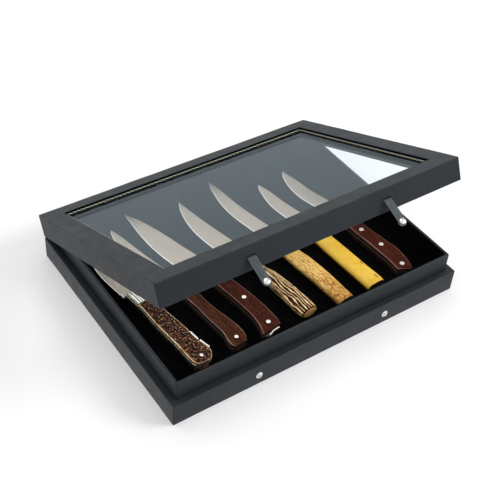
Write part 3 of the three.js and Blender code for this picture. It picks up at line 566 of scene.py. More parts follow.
def rectangle_path(half_width, half_depth, radius, side_steps, corner_steps):
    """Points round a rectangle with rounded corners, anticlockwise from the front left."""
    arcs = []
    for k, (sx, sy) in enumerate(corners(-1, 1, -1, 1)):
        centre = np.array([sx * (half_width - radius), sy * (half_depth - radius)])
        turns = np.radians(180 + 90 * k + 90 * np.arange(corner_steps + 1) / corner_steps)
        arcs.append([centre + radius * np.array([math.cos(a), math.sin(a)]) for a in turns])
    path = []
    for k, arc in enumerate(arcs):
        steps = side_steps[k % 2]
        way = arcs[(k + 1) % 4][0] - arc[-1]
        path += arc + [arc[-1] + way * step / steps for step in range(1, steps)]
    return path


def even_normals(made):
    made.modifiers.new("even_normals", "WEIGHTED_NORMAL").keep_sharp = True


FRAME_STEPS = (34, 26)
WAVE_LENGTH = 34
WAVE_HEIGHT = 20


def frame_piece(name, profile, radii, inside, corner, look, body, replaces=(), wobble=0.0, seed=0.0,
                lid_foot=None):
    """A rectangular frame that lies inside the case's outline by some distance, its profile [inset, height]
    swept round. Wobble is the unevenness of its cover. A frame in the lid says at which height it starts."""
    matrix, centre_y, foot = (Matrix(), 0.0, 0.0) if lid_foot is None else (LID, LID_CENTRE_Y, lid_foot)
    width, depth = CASE_WIDTH - 2 * inside, CASE_DEPTH - 2 * inside
    outline, edges = rounded(profile, radii)
    paths = {}
    for inset, _ in outline:
        radius = max(corner - inset, 0.05)
        paths[inset] = rectangle_path(width / 2 - inset, depth / 2 - inset, radius, FRAME_STEPS, 4)
    rings = []
    for station in range(len(paths[outline[0][0]])):
        ring = []
        for inset, height in outline:
            x, y = paths[inset][station]
            wave = Vector((x / WAVE_LENGTH + seed, y / WAVE_LENGTH, height / WAVE_HEIGHT))
            shift = wobble * noise.noise(wave)
            lift = 0.5 * shift * min(1.0, height / 2)
            ring.append((x * (1 + shift / width), y * (1 + shift / depth) + centre_y, height + foot + lift))
        rings.append(ring)
    made = piece(name, skin(rings, looped=True), look, body, matrix, replaces, sharp=50,
                 edge=edges * len(rings))
    even_normals(made)
    return made


def smooth(stations, place):
    """A smooth value between [place, value] stations, level at both ends."""
    at, values = zip(*stations)
    place = min(max(place, at[0]), at[-1])
    after = max(1, next(i for i, a in enumerate(at) if a >= place))

    def slope(i):
        inner = 0 < i < len(at) - 1
        return (values[i + 1] - values[i - 1]) / (at[i + 1] - at[i - 1]) if inner else 0.0

    low, high = values[after - 1], values[after]
    span = at[after] - at[after - 1]
    t = (place - at[after - 1]) / span
    pull = t * (1 - t) ** 2 * span * slope(after - 1) + t * t * (t - 1) * span * slope(after)
    return low + (high - low) * t * t * (3 - 2 * t) + pull


def rails(stem):
    return [f"{stem}_{side}" for side in ("front", "back", "left", "right")]


# Base


def add_base():
    frame_piece("plinth_cover", [(0, 0), (0, PLINTH_HEIGHT), (LEDGE, PLINTH_HEIGHT), (LEDGE, 0)],
                [0.5, 1.1, 1.4, 0.3], 0.0, 1.4, COVER, "base", rails("plinth_rail"), wobble=0.35, seed=1.7)
    frame_piece("tray_wall_cover", [(0, 5), (0, RIM_HEIGHT), (WALL, RIM_HEIGHT), (WALL, 5)],
                [0.2, 1.2, 1.2, 0.2], LEDGE, 1.6, COVER, "base", rails("tray_wall"), wobble=0.3, seed=5.1)
    foot, top = FLOOR_HEIGHT - 1, RIM_HEIGHT - 0.8
    frame_piece("velvet_walls", [(0.1, foot), (0.1, top), (1.5, top), (1.2, foot)], [0.1, 0.6, 0.8, 0.1],
                LEDGE + WALL, 1.2, VELVET, "base", ["velvet_lining"], wobble=0.5, seed=9.3)
    (x0, y0, _), (x1, y1, top) = node_box("bottom_board")
    outline, _ = rounded(corners(x0, x1, y0, y1), 0.8)
    rings = [[(x, y, z) for x, y in outline] for z in (0.05, top)]
    piece("bottom_sheet", skin(rings), plain_board(), "base", replaces=["bottom_board"])


def add_velvet_floor(columns=170, rows=130):
    """The velvet pad: a soft sheet over foam, pressed in under each handle and rolled down at the walls."""
    low, high = node_box("velvet_pad")
    swell, roll_reach, lump_size = 0.75, 2.2, 42
    vertices = []
    for y in np.linspace(low[1], high[1], rows + 1):
        for x in np.linspace(low[0], high[0], columns + 1):
            side = min(x - low[0], high[0] - x, y - low[1], high[1] - y)
            roll = 1 - math.exp(-max(side, 0) / roll_reach)
            lump = noise.fractal(Vector((x / lump_size, y / lump_size, 4.2)), 1.0, 2.0, 3)
            press = max(pressure(knife, x, y) for knife in KNIVES)
            z = FLOOR_HEIGHT - 1.0 + roll * (1.0 + swell + 0.3 * lump) - press * (swell + 0.25)
            vertices.append((x, y, z))
    starts = [j * (columns + 1) + i for j in range(rows) for i in range(columns)]
    faces = [(a, a + 1, a + columns + 2, a + columns + 1) for a in starts]
    pad = piece("velvet_floor", (vertices, faces), VELVET, None, replaces=["velvet_pad", "foam_core"])
    sheet = pad.modifiers.new("thickness", "SOLIDIFY")
    sheet.thickness = 1.2 * MM
    sheet.offset = -1
    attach(pad, "base")


def pressure(knife, x, y):
    """How much a knife's handle presses the velvet at a point, from 0 to 1."""
    local = knife["place"].inverted() @ Vector((x * MM, y * MM, 0))
    across, along = local.x / MM, local.y / MM
    half_width, softness = 7.0, 3.2
    outside = max(-along - 1, along - knife["handle"] - 1, abs(across) - half_width, 0)
    return math.exp(-(outside / softness) ** 2)


def add_studs():
    profile = [(4.4, 0), (4.4, 0.35), (4.2, 0.65), (3.7, 0.85), (2.5, 0.95), (1.95, 1.05), (1.85, 1.4),
               (2.05, 1.75), (2.12, 2.0), (2.05, 2.25), (1.8, 2.4), (1.25, 2.42), (1.0, 2.3), (0.92, 1.8),
               (0.9, 0.95)]
    for side, x in (("left", -STRAP_X), ("right", STRAP_X)):
        place = moved(x, -CASE_DEPTH / 2 - 0.1, STUD_HEIGHT) @ Matrix.Rotation(math.pi / 2, 4, "X")
        piece(f"stud_{side}", lathe(profile), NICKEL, "base", place, [f"snap_stud_{side}"], sharp=60)


# Lid


def add_lid():
    profile = [(0, 0), (0, LID_HEIGHT), (LID_FRAME, LID_HEIGHT), (LID_FRAME, LIP_FOOT), (REBATE, LIP_FOOT),
               (REBATE, REBATE_FOOT), (18.9, REBATE_FOOT), (14.0, ROOF_FOOT), (SKIRT, ROOF_FOOT), (SKIRT, 0)]
    radii = [0.8, 1.3, 1.1, 0.5, 0.1, 0.1, 0.3, 0.5, 0.5, 0.8]
    lid = frame_piece("lid_cover", profile, radii, 0.0, 1.6, COVER, None, rails("lid_rail"), wobble=0.35,
                      seed=3.3, lid_foot=LID_FOOT)
    cut_slots(lid)
    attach(lid, "lid")
    half_width, half_depth = CASE_WIDTH / 2 - GLASS_INSET, CASE_DEPTH / 2 - GLASS_INSET
    foot = LID_FOOT + GLASS_TOP - GLASS_THICKNESS
    bevel = 0.4
    rings = []
    for inset, z in ((bevel, 0), (0, bevel), (0, GLASS_THICKNESS - bevel), (bevel, GLASS_THICKNESS)):
        path = rectangle_path(half_width - inset, half_depth - inset, 0.5, (1, 1), 2)
        rings.append([(x, y + LID_CENTRE_Y, foot + z) for x, y in path])
    piece("pane", skin(rings), window_glass(), "lid", LID, ["glass_pane"], sharp=30)
    # Painted shade: a thin black velvet strip over the lip's inner wall, which lies in shade.
    frame_piece("lip_shade_strip", [(0, 0.1), (0, 3.5), (0.25, 3.5), (0.25, 0.1)], [0.05, 0.05, 0.2, 0.1],
                LID_FRAME - 0.05, 0.5, VELVET, "lid", lid_foot=LID_FOOT + LIP_FOOT)
    add_gilt_rope()
    strip = LID_FRAME - GLASS_INSET
    frame_piece("glass_stop", [(0, 0), (0, 2.4), (strip, 2.4), (strip, 0)], [0.4, 0.2, 0.4, 0.9],
                GLASS_INSET, 0.6, VELVET, "lid", ["glazing_frame"], wobble=0.2, seed=7.7, lid_foot=foot - 2.5)


def cut_slots(lid):
    """Cuts the straps' slots into the lid's front."""
    clearance, depth = 0.8, 6.2
    half = STRAP_WIDTH / 2 + clearance
    low, high = LID_FOOT + SLOT_HEIGHT - 1.5, LID_FOOT + SLOT_HEIGHT + 2.4
    lid.modifiers.clear()
    slots = []
    for centre in (STRAP_X, -STRAP_X):
        outline, _ = rounded(corners(centre - half, centre + half, low, high), 1.5, 5)
        rings = [[(x, LID_FRONT_Y + y, z) for x, z in outline] for y in (-2, depth)]
        slot = mesh_object("slot", skin(rings))
        slot.matrix_world = LID
        slots.append(slot)
        modifier = lid.modifiers.new("cut", "BOOLEAN")
        modifier.solver = "EXACT"
        modifier.object = slot
    bpy.context.view_layer.update()
    lid.data = bpy.data.meshes.new_from_object(lid.evaluated_get(bpy.context.evaluated_depsgraph_get()))
    lid.modifiers.clear()
    even_normals(lid)
    for slot in slots:
        bpy.data.objects.remove(slot)


def add_gilt_rope():
    """A twisted gilt bead round the pane: four tubes of a two-lobed section that turns along its length."""
    half_wide, half_high, pitch, sides, rings_a_turn = 1.5, 0.85, 5.6, 14, 10
    inset = LID_FRAME + 0.3 + half_wide
    height = LID_FOOT + GLASS_TOP + 0.05 + half_high
    half_width, half_depth = CASE_WIDTH / 2 - inset, CASE_DEPTH / 2 - inset
    turns = [2 * math.pi * k / sides for k in range(sides)]
    runs = [(True, half_width, -half_depth), (True, half_width, half_depth)]
    runs += [(False, half_depth, -half_width), (False, half_depth, half_width)]
    vertices, faces, relief = [], [], []
    for sideways, half, offset in runs:
        rings = []
        for d in np.arange(-half, half + 0.01, pitch / rings_a_turn):
            ring = []
            for a in turns:
                lobe = math.cos(2 * a - 2 * math.pi * d / pitch)
                reach = 0.86 + 0.14 * lobe
                relief.append(0.5 + 0.5 * lobe)
                across = offset + half_wide * reach * math.cos(a)
                x, y = (d, across) if sideways else (across, d)
                ring.append((x, y + LID_CENTRE_Y, height + half_high * reach * math.sin(a)))
            rings.append(ring)
        points, walls = skin(rings)
        faces += [tuple(len(vertices) + i for i in wall) for wall in walls]
        vertices += points
    piece("gilt_rope", (vertices, faces), gilt_bead(), "lid", LID, ["glass_bead"], relief=relief, sharp=80)


# Straps

STRAP_BEND = 4.5
BEND_LEAD = STRAP_BEND * math.tan(STRAP_ANGLE / 2)
BEND_ARC = STRAP_BEND * STRAP_ANGLE


def strap_line(distance):
    """A point and its direction on the strap's middle line: out of the slot, round a bend, then straight.
    Coordinates are (out of the lid, down) from the strap's pivot, in the lid's frame."""
    if distance < 0:
        return distance - BEND_LEAD, 0.0, 0.0
    if distance < BEND_ARC:
        turn = distance / STRAP_BEND
        return STRAP_BEND * math.sin(turn) - BEND_LEAD, STRAP_BEND * (1 - math.cos(turn)), turn
    rest = distance - BEND_ARC + BEND_LEAD
    return rest * math.cos(STRAP_ANGLE), rest * math.sin(STRAP_ANGLE), STRAP_ANGLE


def add_straps():
    leather = strap_leather()
    snap_at = STRAP_REACH - BEND_LEAD + BEND_ARC
    half = STRAP_WIDTH / 2
    top = [(-1, 0.55), (-0.97, 0.9), (-0.9, 1.0), (-0.82, 0.9), (-0.76, 0.9), (-0.7, 1.0), (-0.35, 1.06),
           (0, 1.08)]
    section = top + [(-x, z) for x, z in top[-2::-1]]
    section += [(1, -0.55), (0.96, -0.9), (0.88, -1), (0, -1), (-0.88, -1), (-0.96, -0.9), (-1, -0.55)]
    tail = 4.0
    places = [*np.linspace(-tail, -0.2, 5), *np.linspace(0.2, BEND_ARC, 8)]
    places += list(np.linspace(BEND_ARC + 1, snap_at, 18))
    places += [snap_at + half * math.sin(math.radians(a)) for a in (10, 20, 30, 40, 50, 60, 68, 75, 81, 86)]
    pivot_y, pivot_z = LID_FRONT_Y - STRAP_PIVOT_OUT, LID_FOOT + SLOT_HEIGHT
    for side, x in (("left", -STRAP_X), ("right", STRAP_X)):
        rings, edges = [], []
        for place in places:
            out, down, turn = strap_line(place)
            beyond = max(0.0, place - snap_at)
            width = math.sqrt(max(half * half - beyond * beyond, 0.2))
            ring = []
            for across, up in section:
                lift = STRAP_THICKNESS / 2 * up
                y = pivot_y - out - lift * math.sin(turn)
                ring.append((x + across * width, y, pivot_z - down + lift * math.cos(turn)))
                edges.append(1.0 if abs(across) > 0.86 or beyond > 0.9 * half else 0.0)
            rings.append(ring)
        strap = piece(f"leather_strap_{side}", skin(rings), leather, None, LID,
                      [f"strap_{side}", f"strap_tail_{side}"], edge=edges, sharp=60)
        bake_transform(strap)
        add_snap(side, LID @ moved(x, pivot_y, pivot_z) @ Matrix.Rotation(STRAP_ANGLE, 4, "X"))


def add_snap(side, place):
    """Cap outside and socket inside, at the end of a strap that reaches towards -Y, outer side up."""
    cap = [(3.9, 0), (3.98, 0.16), (3.94, 0.38), (3.82, 0.5), (3.72, 0.56)]
    crown = np.radians((8, 18, 28, 40, 52, 64, 75, 84))
    cap += [(3.72 * math.cos(a), 0.56 + 1.34 * math.sin(a)) for a in crown]
    socket = [(3.85, -0.1), (3.95, -0.4), (3.95, -1.9), (3.8, -2.2), (3.4, -2.28), (2.95, -2.1),
              (2.75, -1.6), (2.75, -0.85)]
    for part, profile, up in (("cap", cap, STRAP_THICKNESS / 2), ("socket", socket, -STRAP_THICKNESS / 2)):
        centre = moved(0, -STRAP_REACH, up)
        piece(f"{part}_{side}", lathe(profile), NICKEL, f"{side}_strap", place @ centre,
              [f"snap_{part}_{side}"], sharp=50)


# Hinges: the CAD pieces, plated


def dress_hinges():
    for side in ("left", "right"):
        for node in (f"base_hinge_leaf_{side}", f"lid_hinge_leaf_{side}", f"hinge_pin_{side}"):
            mesh = frame["nodes"][node].data
            mesh.materials.clear()
            mesh.materials.append(NICKEL.material)


# Knives, each along +Y from its butt, its edge towards -X. Spine, breadth, left and right are stations
# [share of the length, millimetres], belly holds the powers that bring the edge up to the tip, and rims and
# shade are shares of the handle's section

KNIVES = [
    dict(shift=3.3, yaw=6.9, setback=18.4, handle=134, blade=99.3, thick=13,
         tang=3.2, spine=[(0, 12.6), (0.45, 10.8), (1, 4.3)],
         breadth=[(0, 26.8), (0.45, 27.5), (0.77, 24.5), (1, 25)], belly=(3, 0.75),
         left=[(0, 4.5), (0.011, 9.8), (0.037, 13), (0.093, 13.8), (0.2, 13), (0.32, 12.4), (0.555, 12.2),
               (0.77, 10), (1, 10.3)],
         right=[(0, 3), (0.0185, 7.9), (0.046, 11.2), (0.083, 12.4), (0.14, 11.6), (0.22, 10.5),
                (0.415, 10.8), (0.555, 9.8), (0.7, 9), (1, 9)],
         pins=(0.065,), pin_radius=2.2, bolster=22, liner=1.3, flank=0.75, rims=(1.0, 0.13, 0.06),
         lugs=((12.8, 27.2, 0.75), (29.6, 43.0, 0.05))),
    dict(shift=3, yaw=6.6, setback=19.7, handle=114.6, blade=127.8, thick=13,
         tang=2.8, spine=[(0, 7.5), (0.25, 3.8), (0.6, -1), (0.9, -4), (1, -6)],
         breadth=[(0, 14), (0.12, 11), (0.3, 8.8), (0.67, 16), (1, 18)], belly=(5, 0.8),
         left=[(0, 8), (0.014, 11.3), (0.055, 12.4), (0.11, 11.6), (0.175, 9.3), (0.25, 8.3), (0.45, 8.3),
               (0.63, 7.4), (1, 8.4)],
         right=[(0, 6), (0.045, 9.2), (0.09, 10.5), (0.15, 11.5), (0.24, 11.3), (0.38, 10.1), (0.5, 8.4),
                (0.65, 8), (1, 8)],
         pins=(0.087, 0.84), pin_radius=2.4, flank=0.8),
    dict(shift=-1.3, yaw=7.1, setback=19.3, handle=120, blade=142, thick=14,
         tang=3, spine=[(0, 9.9), (0.34, 3.8), (0.65, -2.7), (0.85, -9), (1, -16.1)],
         breadth=[(0, 30), (0.2, 31.5), (1, 33)], belly=(2.8, 1),
         left=[(0, 17.3), (0.08, 13.4), (0.145, 11.3), (0.21, 9.4), (0.28, 8.5), (0.5, 7.8), (0.72, 8.7),
               (1, 9)],
         right=[(0, 8.2), (0.03, 9.8), (0.07, 10.7), (0.14, 11.5), (0.21, 12.5), (0.37, 12.9), (0.6, 12.2),
                (0.75, 10.4), (1, 9.6)],
         pins=(0.082, 0.466, 0.84), pin_radius=2.7, flank=0.8, spur=(3.2, 13.5, -6),
         glint=((-10.4, -3.2), (-8, -2.2), (-5, -1.3), (-1.7, -0.7), (1.2, -0.55), (3.9, -0.5), (6.4, -0.6))),
    dict(shift=2.4, yaw=5.7, setback=20, handle=112.5, blade=131.7, thick=15,
         tang=2.8, spine=[(0, 7.9), (0.26, 3.6), (0.6, -1.9), (0.8, -3.9), (1, -5.2)],
         breadth=[(0, 25), (0.27, 27.3), (1, 29)], belly=(2.6, 0.85), bolster=28.4, fullness=1.0,
         shade=(0.3, 0.6), banded_butt=True,
         left=[(0, 12.4), (0.11, 13), (0.22, 12.4), (0.35, 11.4), (0.48, 10.8), (0.57, 10.2), (0.66, 8.2),
               (0.73, 6.6), (1, 6)],
         right=[(0, 10.6), (0.08, 11.5), (0.27, 12), (0.45, 11.8), (0.56, 10.8), (0.645, 9.3), (0.717, 6.6),
                (0.745, 5.8), (1, 5.4)]),
    dict(shift=2.5, yaw=4.8, setback=11.7, handle=123, blade=143.6, thick=14,
         tang=2.8, spine=[(0, 11.2), (0.22, 9.2), (0.49, 4.4), (0.66, 2.8), (0.85, 2.5), (1, 1)],
         breadth=[(0, 20.5), (0.3, 21.6), (1, 23)], belly=(3, 0.75), bolster=8, fullness=0.72,
         shade=(0.7, 1.0),
         left=[(0, 12.8), (0.18, 12.2), (0.45, 12.2), (0.65, 13.2), (0.8, 12.6), (1, 11.6)],
         right=[(0, 10.2), (0.06, 10.8), (0.15, 11.2), (0.25, 12.2), (0.36, 12.9), (0.58, 12.6),
                (0.69, 11.7), (0.77, 9.8), (1, 9.6)]),
    dict(shift=1.6, yaw=3.4, setback=13.9, handle=115, blade=112.5, thick=14,
         tang=2.6, spine=[(0, 12.1), (0.34, 8.6), (0.6, 4.3), (0.85, 2.1), (1, -0.9)],
         breadth=[(0, 21), (1, 23.5)], belly=(3, 0.75), bolster=0, fullness=0.72, shade=(0.45, 1.0),
         nicks=((7.0, 36.5, 2.8), (6.0, 9.8, 3.8)),
         left=[(0, 13.6), (0.3, 13.4), (0.7, 13.2), (1, 12)],
         right=[(0, 12.2), (0.1, 12.7), (0.22, 12), (0.6, 11.5), (1, 10.6)]),
    dict(shift=3.9, yaw=3.4, setback=12.6, handle=121.7, blade=114.1, thick=13.5,
         tang=2.8, spine=[(0, 9.6), (0.285, 4.9), (0.49, 0.2), (0.64, -1.8), (0.82, -3.5), (1, -6.2)],
         breadth=[(0, 20.5), (0.3, 22.3), (1, 27)], belly=(3, 0.75), notches=(58.5, 63, 67.5),
         left=[(0, 0.5), (0.03, 6), (0.06, 12.8), (0.13, 12.4), (0.22, 11.4), (0.5, 11.1), (0.7, 12),
               (1, 10.6)],
         right=[(0, 3.6), (0.042, 6), (0.106, 8.6), (0.18, 10.2), (0.25, 11.6), (0.34, 11.8), (0.43, 10.6),
                (0.52, 9.9), (0.66, 7.8), (1, 7.6)],
         pins=(0.096, 0.4215, 0.7), pin_radius=3, flank=0.8),
]


def place_knives():
    inside_depth = CASE_DEPTH - 2 * LINING_INSET
    for i, knife in enumerate(KNIVES):
        knife["name"] = f"knife_{i + 1}"
        x = -INSIDE_WIDTH / 2 + SIDE_ROOM + i * KNIFE_PITCH + knife["shift"]
        y = -inside_depth / 2 + knife["setback"]
        z = FLOOR_HEIGHT + PIECE_GAP + (PIN_PROUD if "pins" in knife else 0) + knife["thick"] / 2
        knife["place"] = moved(x, y, z) @ Matrix.Rotation(math.radians(knife["yaw"]), 4, "Z")


def knife_piece(knife, part, rings, look, node=None, **more):
    """A piece of a knife, in the knife's own frame, in place of one of its CAD nodes if that is named."""
    replaces = [f"{knife['name']}_{node}"] if node else ()
    piece(f"{knife['name']}_{part}", skin(rings), look, "base", knife["place"], replaces, **more)


def widths(knife, y):
    """How far the handle reaches to the left and to the right."""
    share = y / knife["handle"]
    return smooth(knife["left"], share), smooth(knife["right"], share)


def blade_outline(knife, t):
    """Left and right side of the blade at a share of its length: the belly rises to the back at the tip."""
    right = smooth(knife["spine"], t)
    sweep, fullness = knife["belly"]
    width = smooth(knife["breadth"], t) * max(0.0, 1 - t ** sweep) ** fullness
    return right - max(0.6, width), right


RING_POINTS = 10


def mirrored(y, upper):
    """A ring from the five points [x, z] of its upper half."""
    return [(x, y, z) for x, z in upper] + [(x, y, -z) for x, z in upper[::-1]]


def blade_rings(knife):
    """Fine rings: a flat back, a flat bevel to the edge, and a small cutting bevel, which the steel lightens
    as a painted highlight.
    """
    length = knife["blade"]
    tang = knife["tang"] / 2
    tip, edge, grind_width, shoulder_width = 0.4, 0.12, 0.55, 1.3
    notch_depth = 1.1
    ricasso = 6.0 / length
    places = [0.0, ricasso * 0.97, ricasso * 1.02, *np.linspace(ricasso + 0.02, 0.9, 46)]
    places += list(0.9 + 0.1 * np.sin(np.linspace(0.05, math.pi / 2, 18)))
    notches = knife.get("notches", ())
    places += [(notch + d) / length for notch in notches for d in (-notch_depth, -0.5, 0, 0.5, notch_depth)]
    rings = []
    for t in sorted(places):
        left, right = blade_outline(knife, t)
        for notch in notches:
            right -= max(0.0, notch_depth - abs(t * length - notch))
        half = tang + (tip - tang) * t * t
        low, middle = (edge, edge + 0.22 * (half - edge)) if t > ricasso else (half, half)
        ease = min(0.35, 0.2 * (right - left))
        grind = left + (right - left) * grind_width
        shoulder = left + min(shoulder_width, 0.3 * (right - left))
        rings.append(mirrored(knife["handle"] + (PIECE_GAP if t == 0 else length * t), [
            (right, half - ease), (right - ease, half), (grind, half), (shoulder, middle), (left, low)]))
    return rings


def tang_ring(left, right, y, half, middle=None):
    ease = 0.25
    middle = (left + right) / 2 if middle is None else middle
    return mirrored(y, [(right, half - ease), (right - ease, half), (middle, half), (left + ease, half),
                        (left, half - ease)])


def add_steel(knife, tang, look, dull=None):
    """Blade and tang in one. Edge is 1 on the cutting edge and less at its shoulder and back, and lightens it
    as a painted highlight; relief is 1 where the tang is darkened as painted shade."""
    blade = blade_rings(knife)
    across = [1.0, 0.0, 0.0, 0.2, 1.0]
    edge = [0.0] * RING_POINTS * len(tang) + (across + across[::-1]) * len(blade)
    more = {"relief": dull + [0.0] * RING_POINTS * len(blade)} if dull else {}
    knife_piece(knife, "steel", tang + blade, look, "blade", sharp=9, edge=edge, **more)


def handle_places(knife, start=0.0, count=70):
    """Places along the handle, close together at its ends."""
    ends = [0.0, 0.0015, 0.004, 0.008, 0.014]
    shares = [*ends, *np.linspace(0.02, 0.985, count), *(1 - e for e in ends[::-1])]
    return [start + (knife["handle"] - start) * t for t in shares]


def scale_rings(knife, inner, side, carve=None, start=0.0, end=math.inf, arch=26, count=70, foot=1.0):
    """One side of a flat handle, upright at its flanks and slightly domed on top. Returns rings, the carved
    relief, and a value that is 1 on the flanks, lower along the top's edge and foot where they start."""
    level, left_rim, right_rim = knife.get("rims", (0.55, 0.12, 0.07))
    flank, length = knife["flank"], knife["handle"]
    slope, carving_depth, squareness, squeeze, cap = 7.0, 0.8, 0.7, 40, 0.97
    outer = knife["thick"] / 2
    rings, relief, flanks = [], [], []
    for y in handle_places(knife, start, count):
        if y > end:
            continue
        left, right = widths(knife, y)
        near = clamp(min(slope if start else y, length - y) / slope)
        rise = (outer - inner) * (0.75 + 0.25 * math.sqrt(near))
        ring, heights, rims = [(right, y, side * inner)], [1.0], [foot]
        for k in range(arch + 1):
            a = math.pi * k / arch
            high = max(math.sin(a), 0.0)
            across = math.copysign(abs(math.cos(a)) ** squareness, math.cos(a))
            x = (right if across >= 0 else left) * across
            height = carve(x, y) if carve else 1.0
            depth = carving_depth * (1 - height) * min(1.0, 3 * high)
            up = rise * (flank + (1 - flank) * high ** 0.8) - depth
            ring.append((x * (1 - depth / squeeze), y, side * (inner + up)))
            heights.append(height)
            rim = left_rim if across < 0 else right_rim
            share = clamp((abs(across) - 1 + rim) / (0.4 * rim))
            rims.append(1.0 if k in (0, arch) else level * share)
        rings.append(ring + [(-left, y, side * inner)])
        relief += heights + [1.0]
        flanks += rims + [foot]
    middle = side * (inner + 0.4 * (outer - inner))
    caps = []
    for ring, out in ((rings[0], -0.03), (rings[-1], 0.03)):
        caps.append([(cap * x, y + out, middle + cap * (z - middle)) for x, y, z in ring])
    plain = [1.0] * (arch + 3)
    walls = [foot] + [1.0] * (arch + 1) + [foot]
    return [caps[0], *rings, caps[1]], plain + relief + plain, walls + flanks + walls


def jigged(x, y):
    """Short carved pits along the handle, as on jigged horn: the height left at a place, from 0 to 1."""
    seed = 3.1
    here = noise.noise(Vector((x / 1.25 + seed, y / 3.1, seed)))
    fine = noise.noise(Vector((x / 0.8, y / 1.7, 2 * seed)))
    return 1.0 - 0.9 * clamp((here + 0.4 * fine + 0.1) * 2.6)


def engraved(x, y):
    """Lines cut along knife 1's bolster: the height left at a place, from 0 to 1."""
    return 0.15 if 2.6 < -x < 3.2 or 5.2 < -x < 6.6 or 8.2 < -x < 8.9 else 1.0


def furrowed(count, seed, drift, depth, bite=1.0, patchy=0.5, level=1.0):
    """Furrows that wander along an antler: the relief and the depth at an angle and a place."""
    def carve(angle, y):
        c, s = math.cos(angle), math.sin(angle)
        wander = drift * noise.noise(Vector((1.6 * c + seed, 1.6 * s, y / 26)))
        wander += 0.4 * drift * noise.noise(Vector((3.1 * c, 3.1 * s + seed, y / 8)))
        groove = abs(math.sin(0.5 * count * angle + wander)) ** bite
        patch = noise.noise(Vector((3.4 * c, seed - 3.4 * s, y / 9)))
        height = clamp(groove + patchy * patch)
        return level * height, depth * (1 - height)
    return carve


def paler_upwards(carve):
    """The same carving, its relief raised little by little from 20 to 60 mm along the handle."""
    def raised(angle, y):
        height, depth = carve(angle, y)
        return height + 0.3 * clamp((y - 20) / 40), depth
    return raised


def horn_rings(knife, relief, start, end, around=144, count=110):
    """Rings of a round handle between two places: rings, relief values, and how strongly its underside and
    butt end are darkened as painted shade.
    """
    rings, values, shades = [], [], []
    ends = [(0.0, 0.80), (0.15, 0.88), (0.5, 0.94), (1.1, 0.975), (2.0, 0.993)]
    places = [(start + d, s) for d, s in ends]
    places += [(y, 1.0) for y in np.linspace(start + 3.2, end - 1.6, count)]
    places += [(end - 0.6, 0.99), (end - 0.2, 0.975), (end, 0.95)]
    collar_fade = 12.0
    reach, most = knife.get("shade", (0.0, 0.0))
    banded = knife.get("banded_butt")
    fullness = knife["fullness"]
    for y, shrink in places:
        left, right = widths(knife, y)
        fade = clamp((end - y) / collar_fade) if knife["bolster"] else 1.0
        low = min(knife["thick"], 1.1 * (left + right)) / 2
        ring = []
        for k in range(around):
            a = 2 * math.pi * k / around
            value, depth = relief(a, y)
            depth *= fade
            across, up = (math.copysign(abs(v) ** fullness, v) for v in (math.cos(a), math.sin(a)))
            half = (right if across >= 0 else left) - depth
            ring.append((half * across * shrink, y, (low - depth) * up * shrink))
            if banded and y < start + 1.5:
                value = 0.68 if shrink > 0.98 or shrink < 0.9 else 0.3
            values.append(value)
            # Painted shade: darker down the left flank and under the right one, and black on a plain butt's
            # end face.
            side_shade = (reach - up) / max(reach, 0.01) if across < 0 else -3 * up
            end_shade = 1.0 if shrink < 0.95 and y < start + 1 and not banded else 0.0
            shades.append(max(most * clamp(side_shade), end_shade))
        rings.append(ring)
    return rings, values, shades


def add_pin(name, knife, share, look):
    """A pin through the handle, its upper end domed and proud."""
    y = share * knife["handle"]
    left, right = widths(knife, y)
    radius = knife["pin_radius"]
    top = knife["thick"] / 2 + PIN_PROUD
    profile = [(radius * 0.85, -top), (radius, 0.25 - top), (radius, top - 0.3), (radius * 0.9, top - 0.1),
               (radius * 0.7, top - 0.02), (radius * 0.4, top)]
    place = knife["place"] @ moved((right - left) / 2, y, 0)
    piece(name, lathe(profile, 32), look, "base", place, sharp=40)


def add_full_tang(knife, look, pin_look):
    half = knife["tang"] / 2
    tang = []
    for y in handle_places(knife, count=50):
        left, right = widths(knife, y)
        tang.append(tang_ring(-left, right, y, half))
    # Painted shade: the tang is darkened all along; on the spur's rings two points stay bright.
    dull = [1.0] * RING_POINTS * len(tang)
    if "spur" in knife:
        reach, spur_left, spur_right = knife["spur"]
        left, right = widths(knife, 0)
        for out in (0.02, 0.05, 0.1, 0.18, 0.3, 0.5, 0.75, 1.0):
            in_left = left + (spur_left - left) * out
            in_right = right + (spur_right - right) * out ** 0.3
            tang.insert(0, tang_ring(-in_left, in_right, -reach * out, half, in_right - 1.4))
            dull = [0.0, 0.0] + [1.0] * (RING_POINTS - 2) + dull
    add_steel(knife, tang, STEEL, dull)
    for side, where in ((1, "upper"), (-1, "lower")):
        rings, relief, flanks = scale_rings(knife, half + 0.02, side)
        knife_piece(knife, f"{where}_side", rings, look, f"{where}_scale", relief=relief,
                    edge=flanks, sharp=50)
    for i, share in enumerate(knife["pins"]):
        add_pin(f"{knife['name']}_pin_{i + 1}", knife, share, pin_look)
    if "glint" in knife:
        section = ((0.5, 0.0), (-0.7, 0.0), (-0.6, 0.3), (0.5, 0.7))
        strip = [[(x, y + along, half + up) for along, up in section] for x, y in knife["glint"]]
        knife_piece(knife, "rim", strip, PIN, sharp=30)


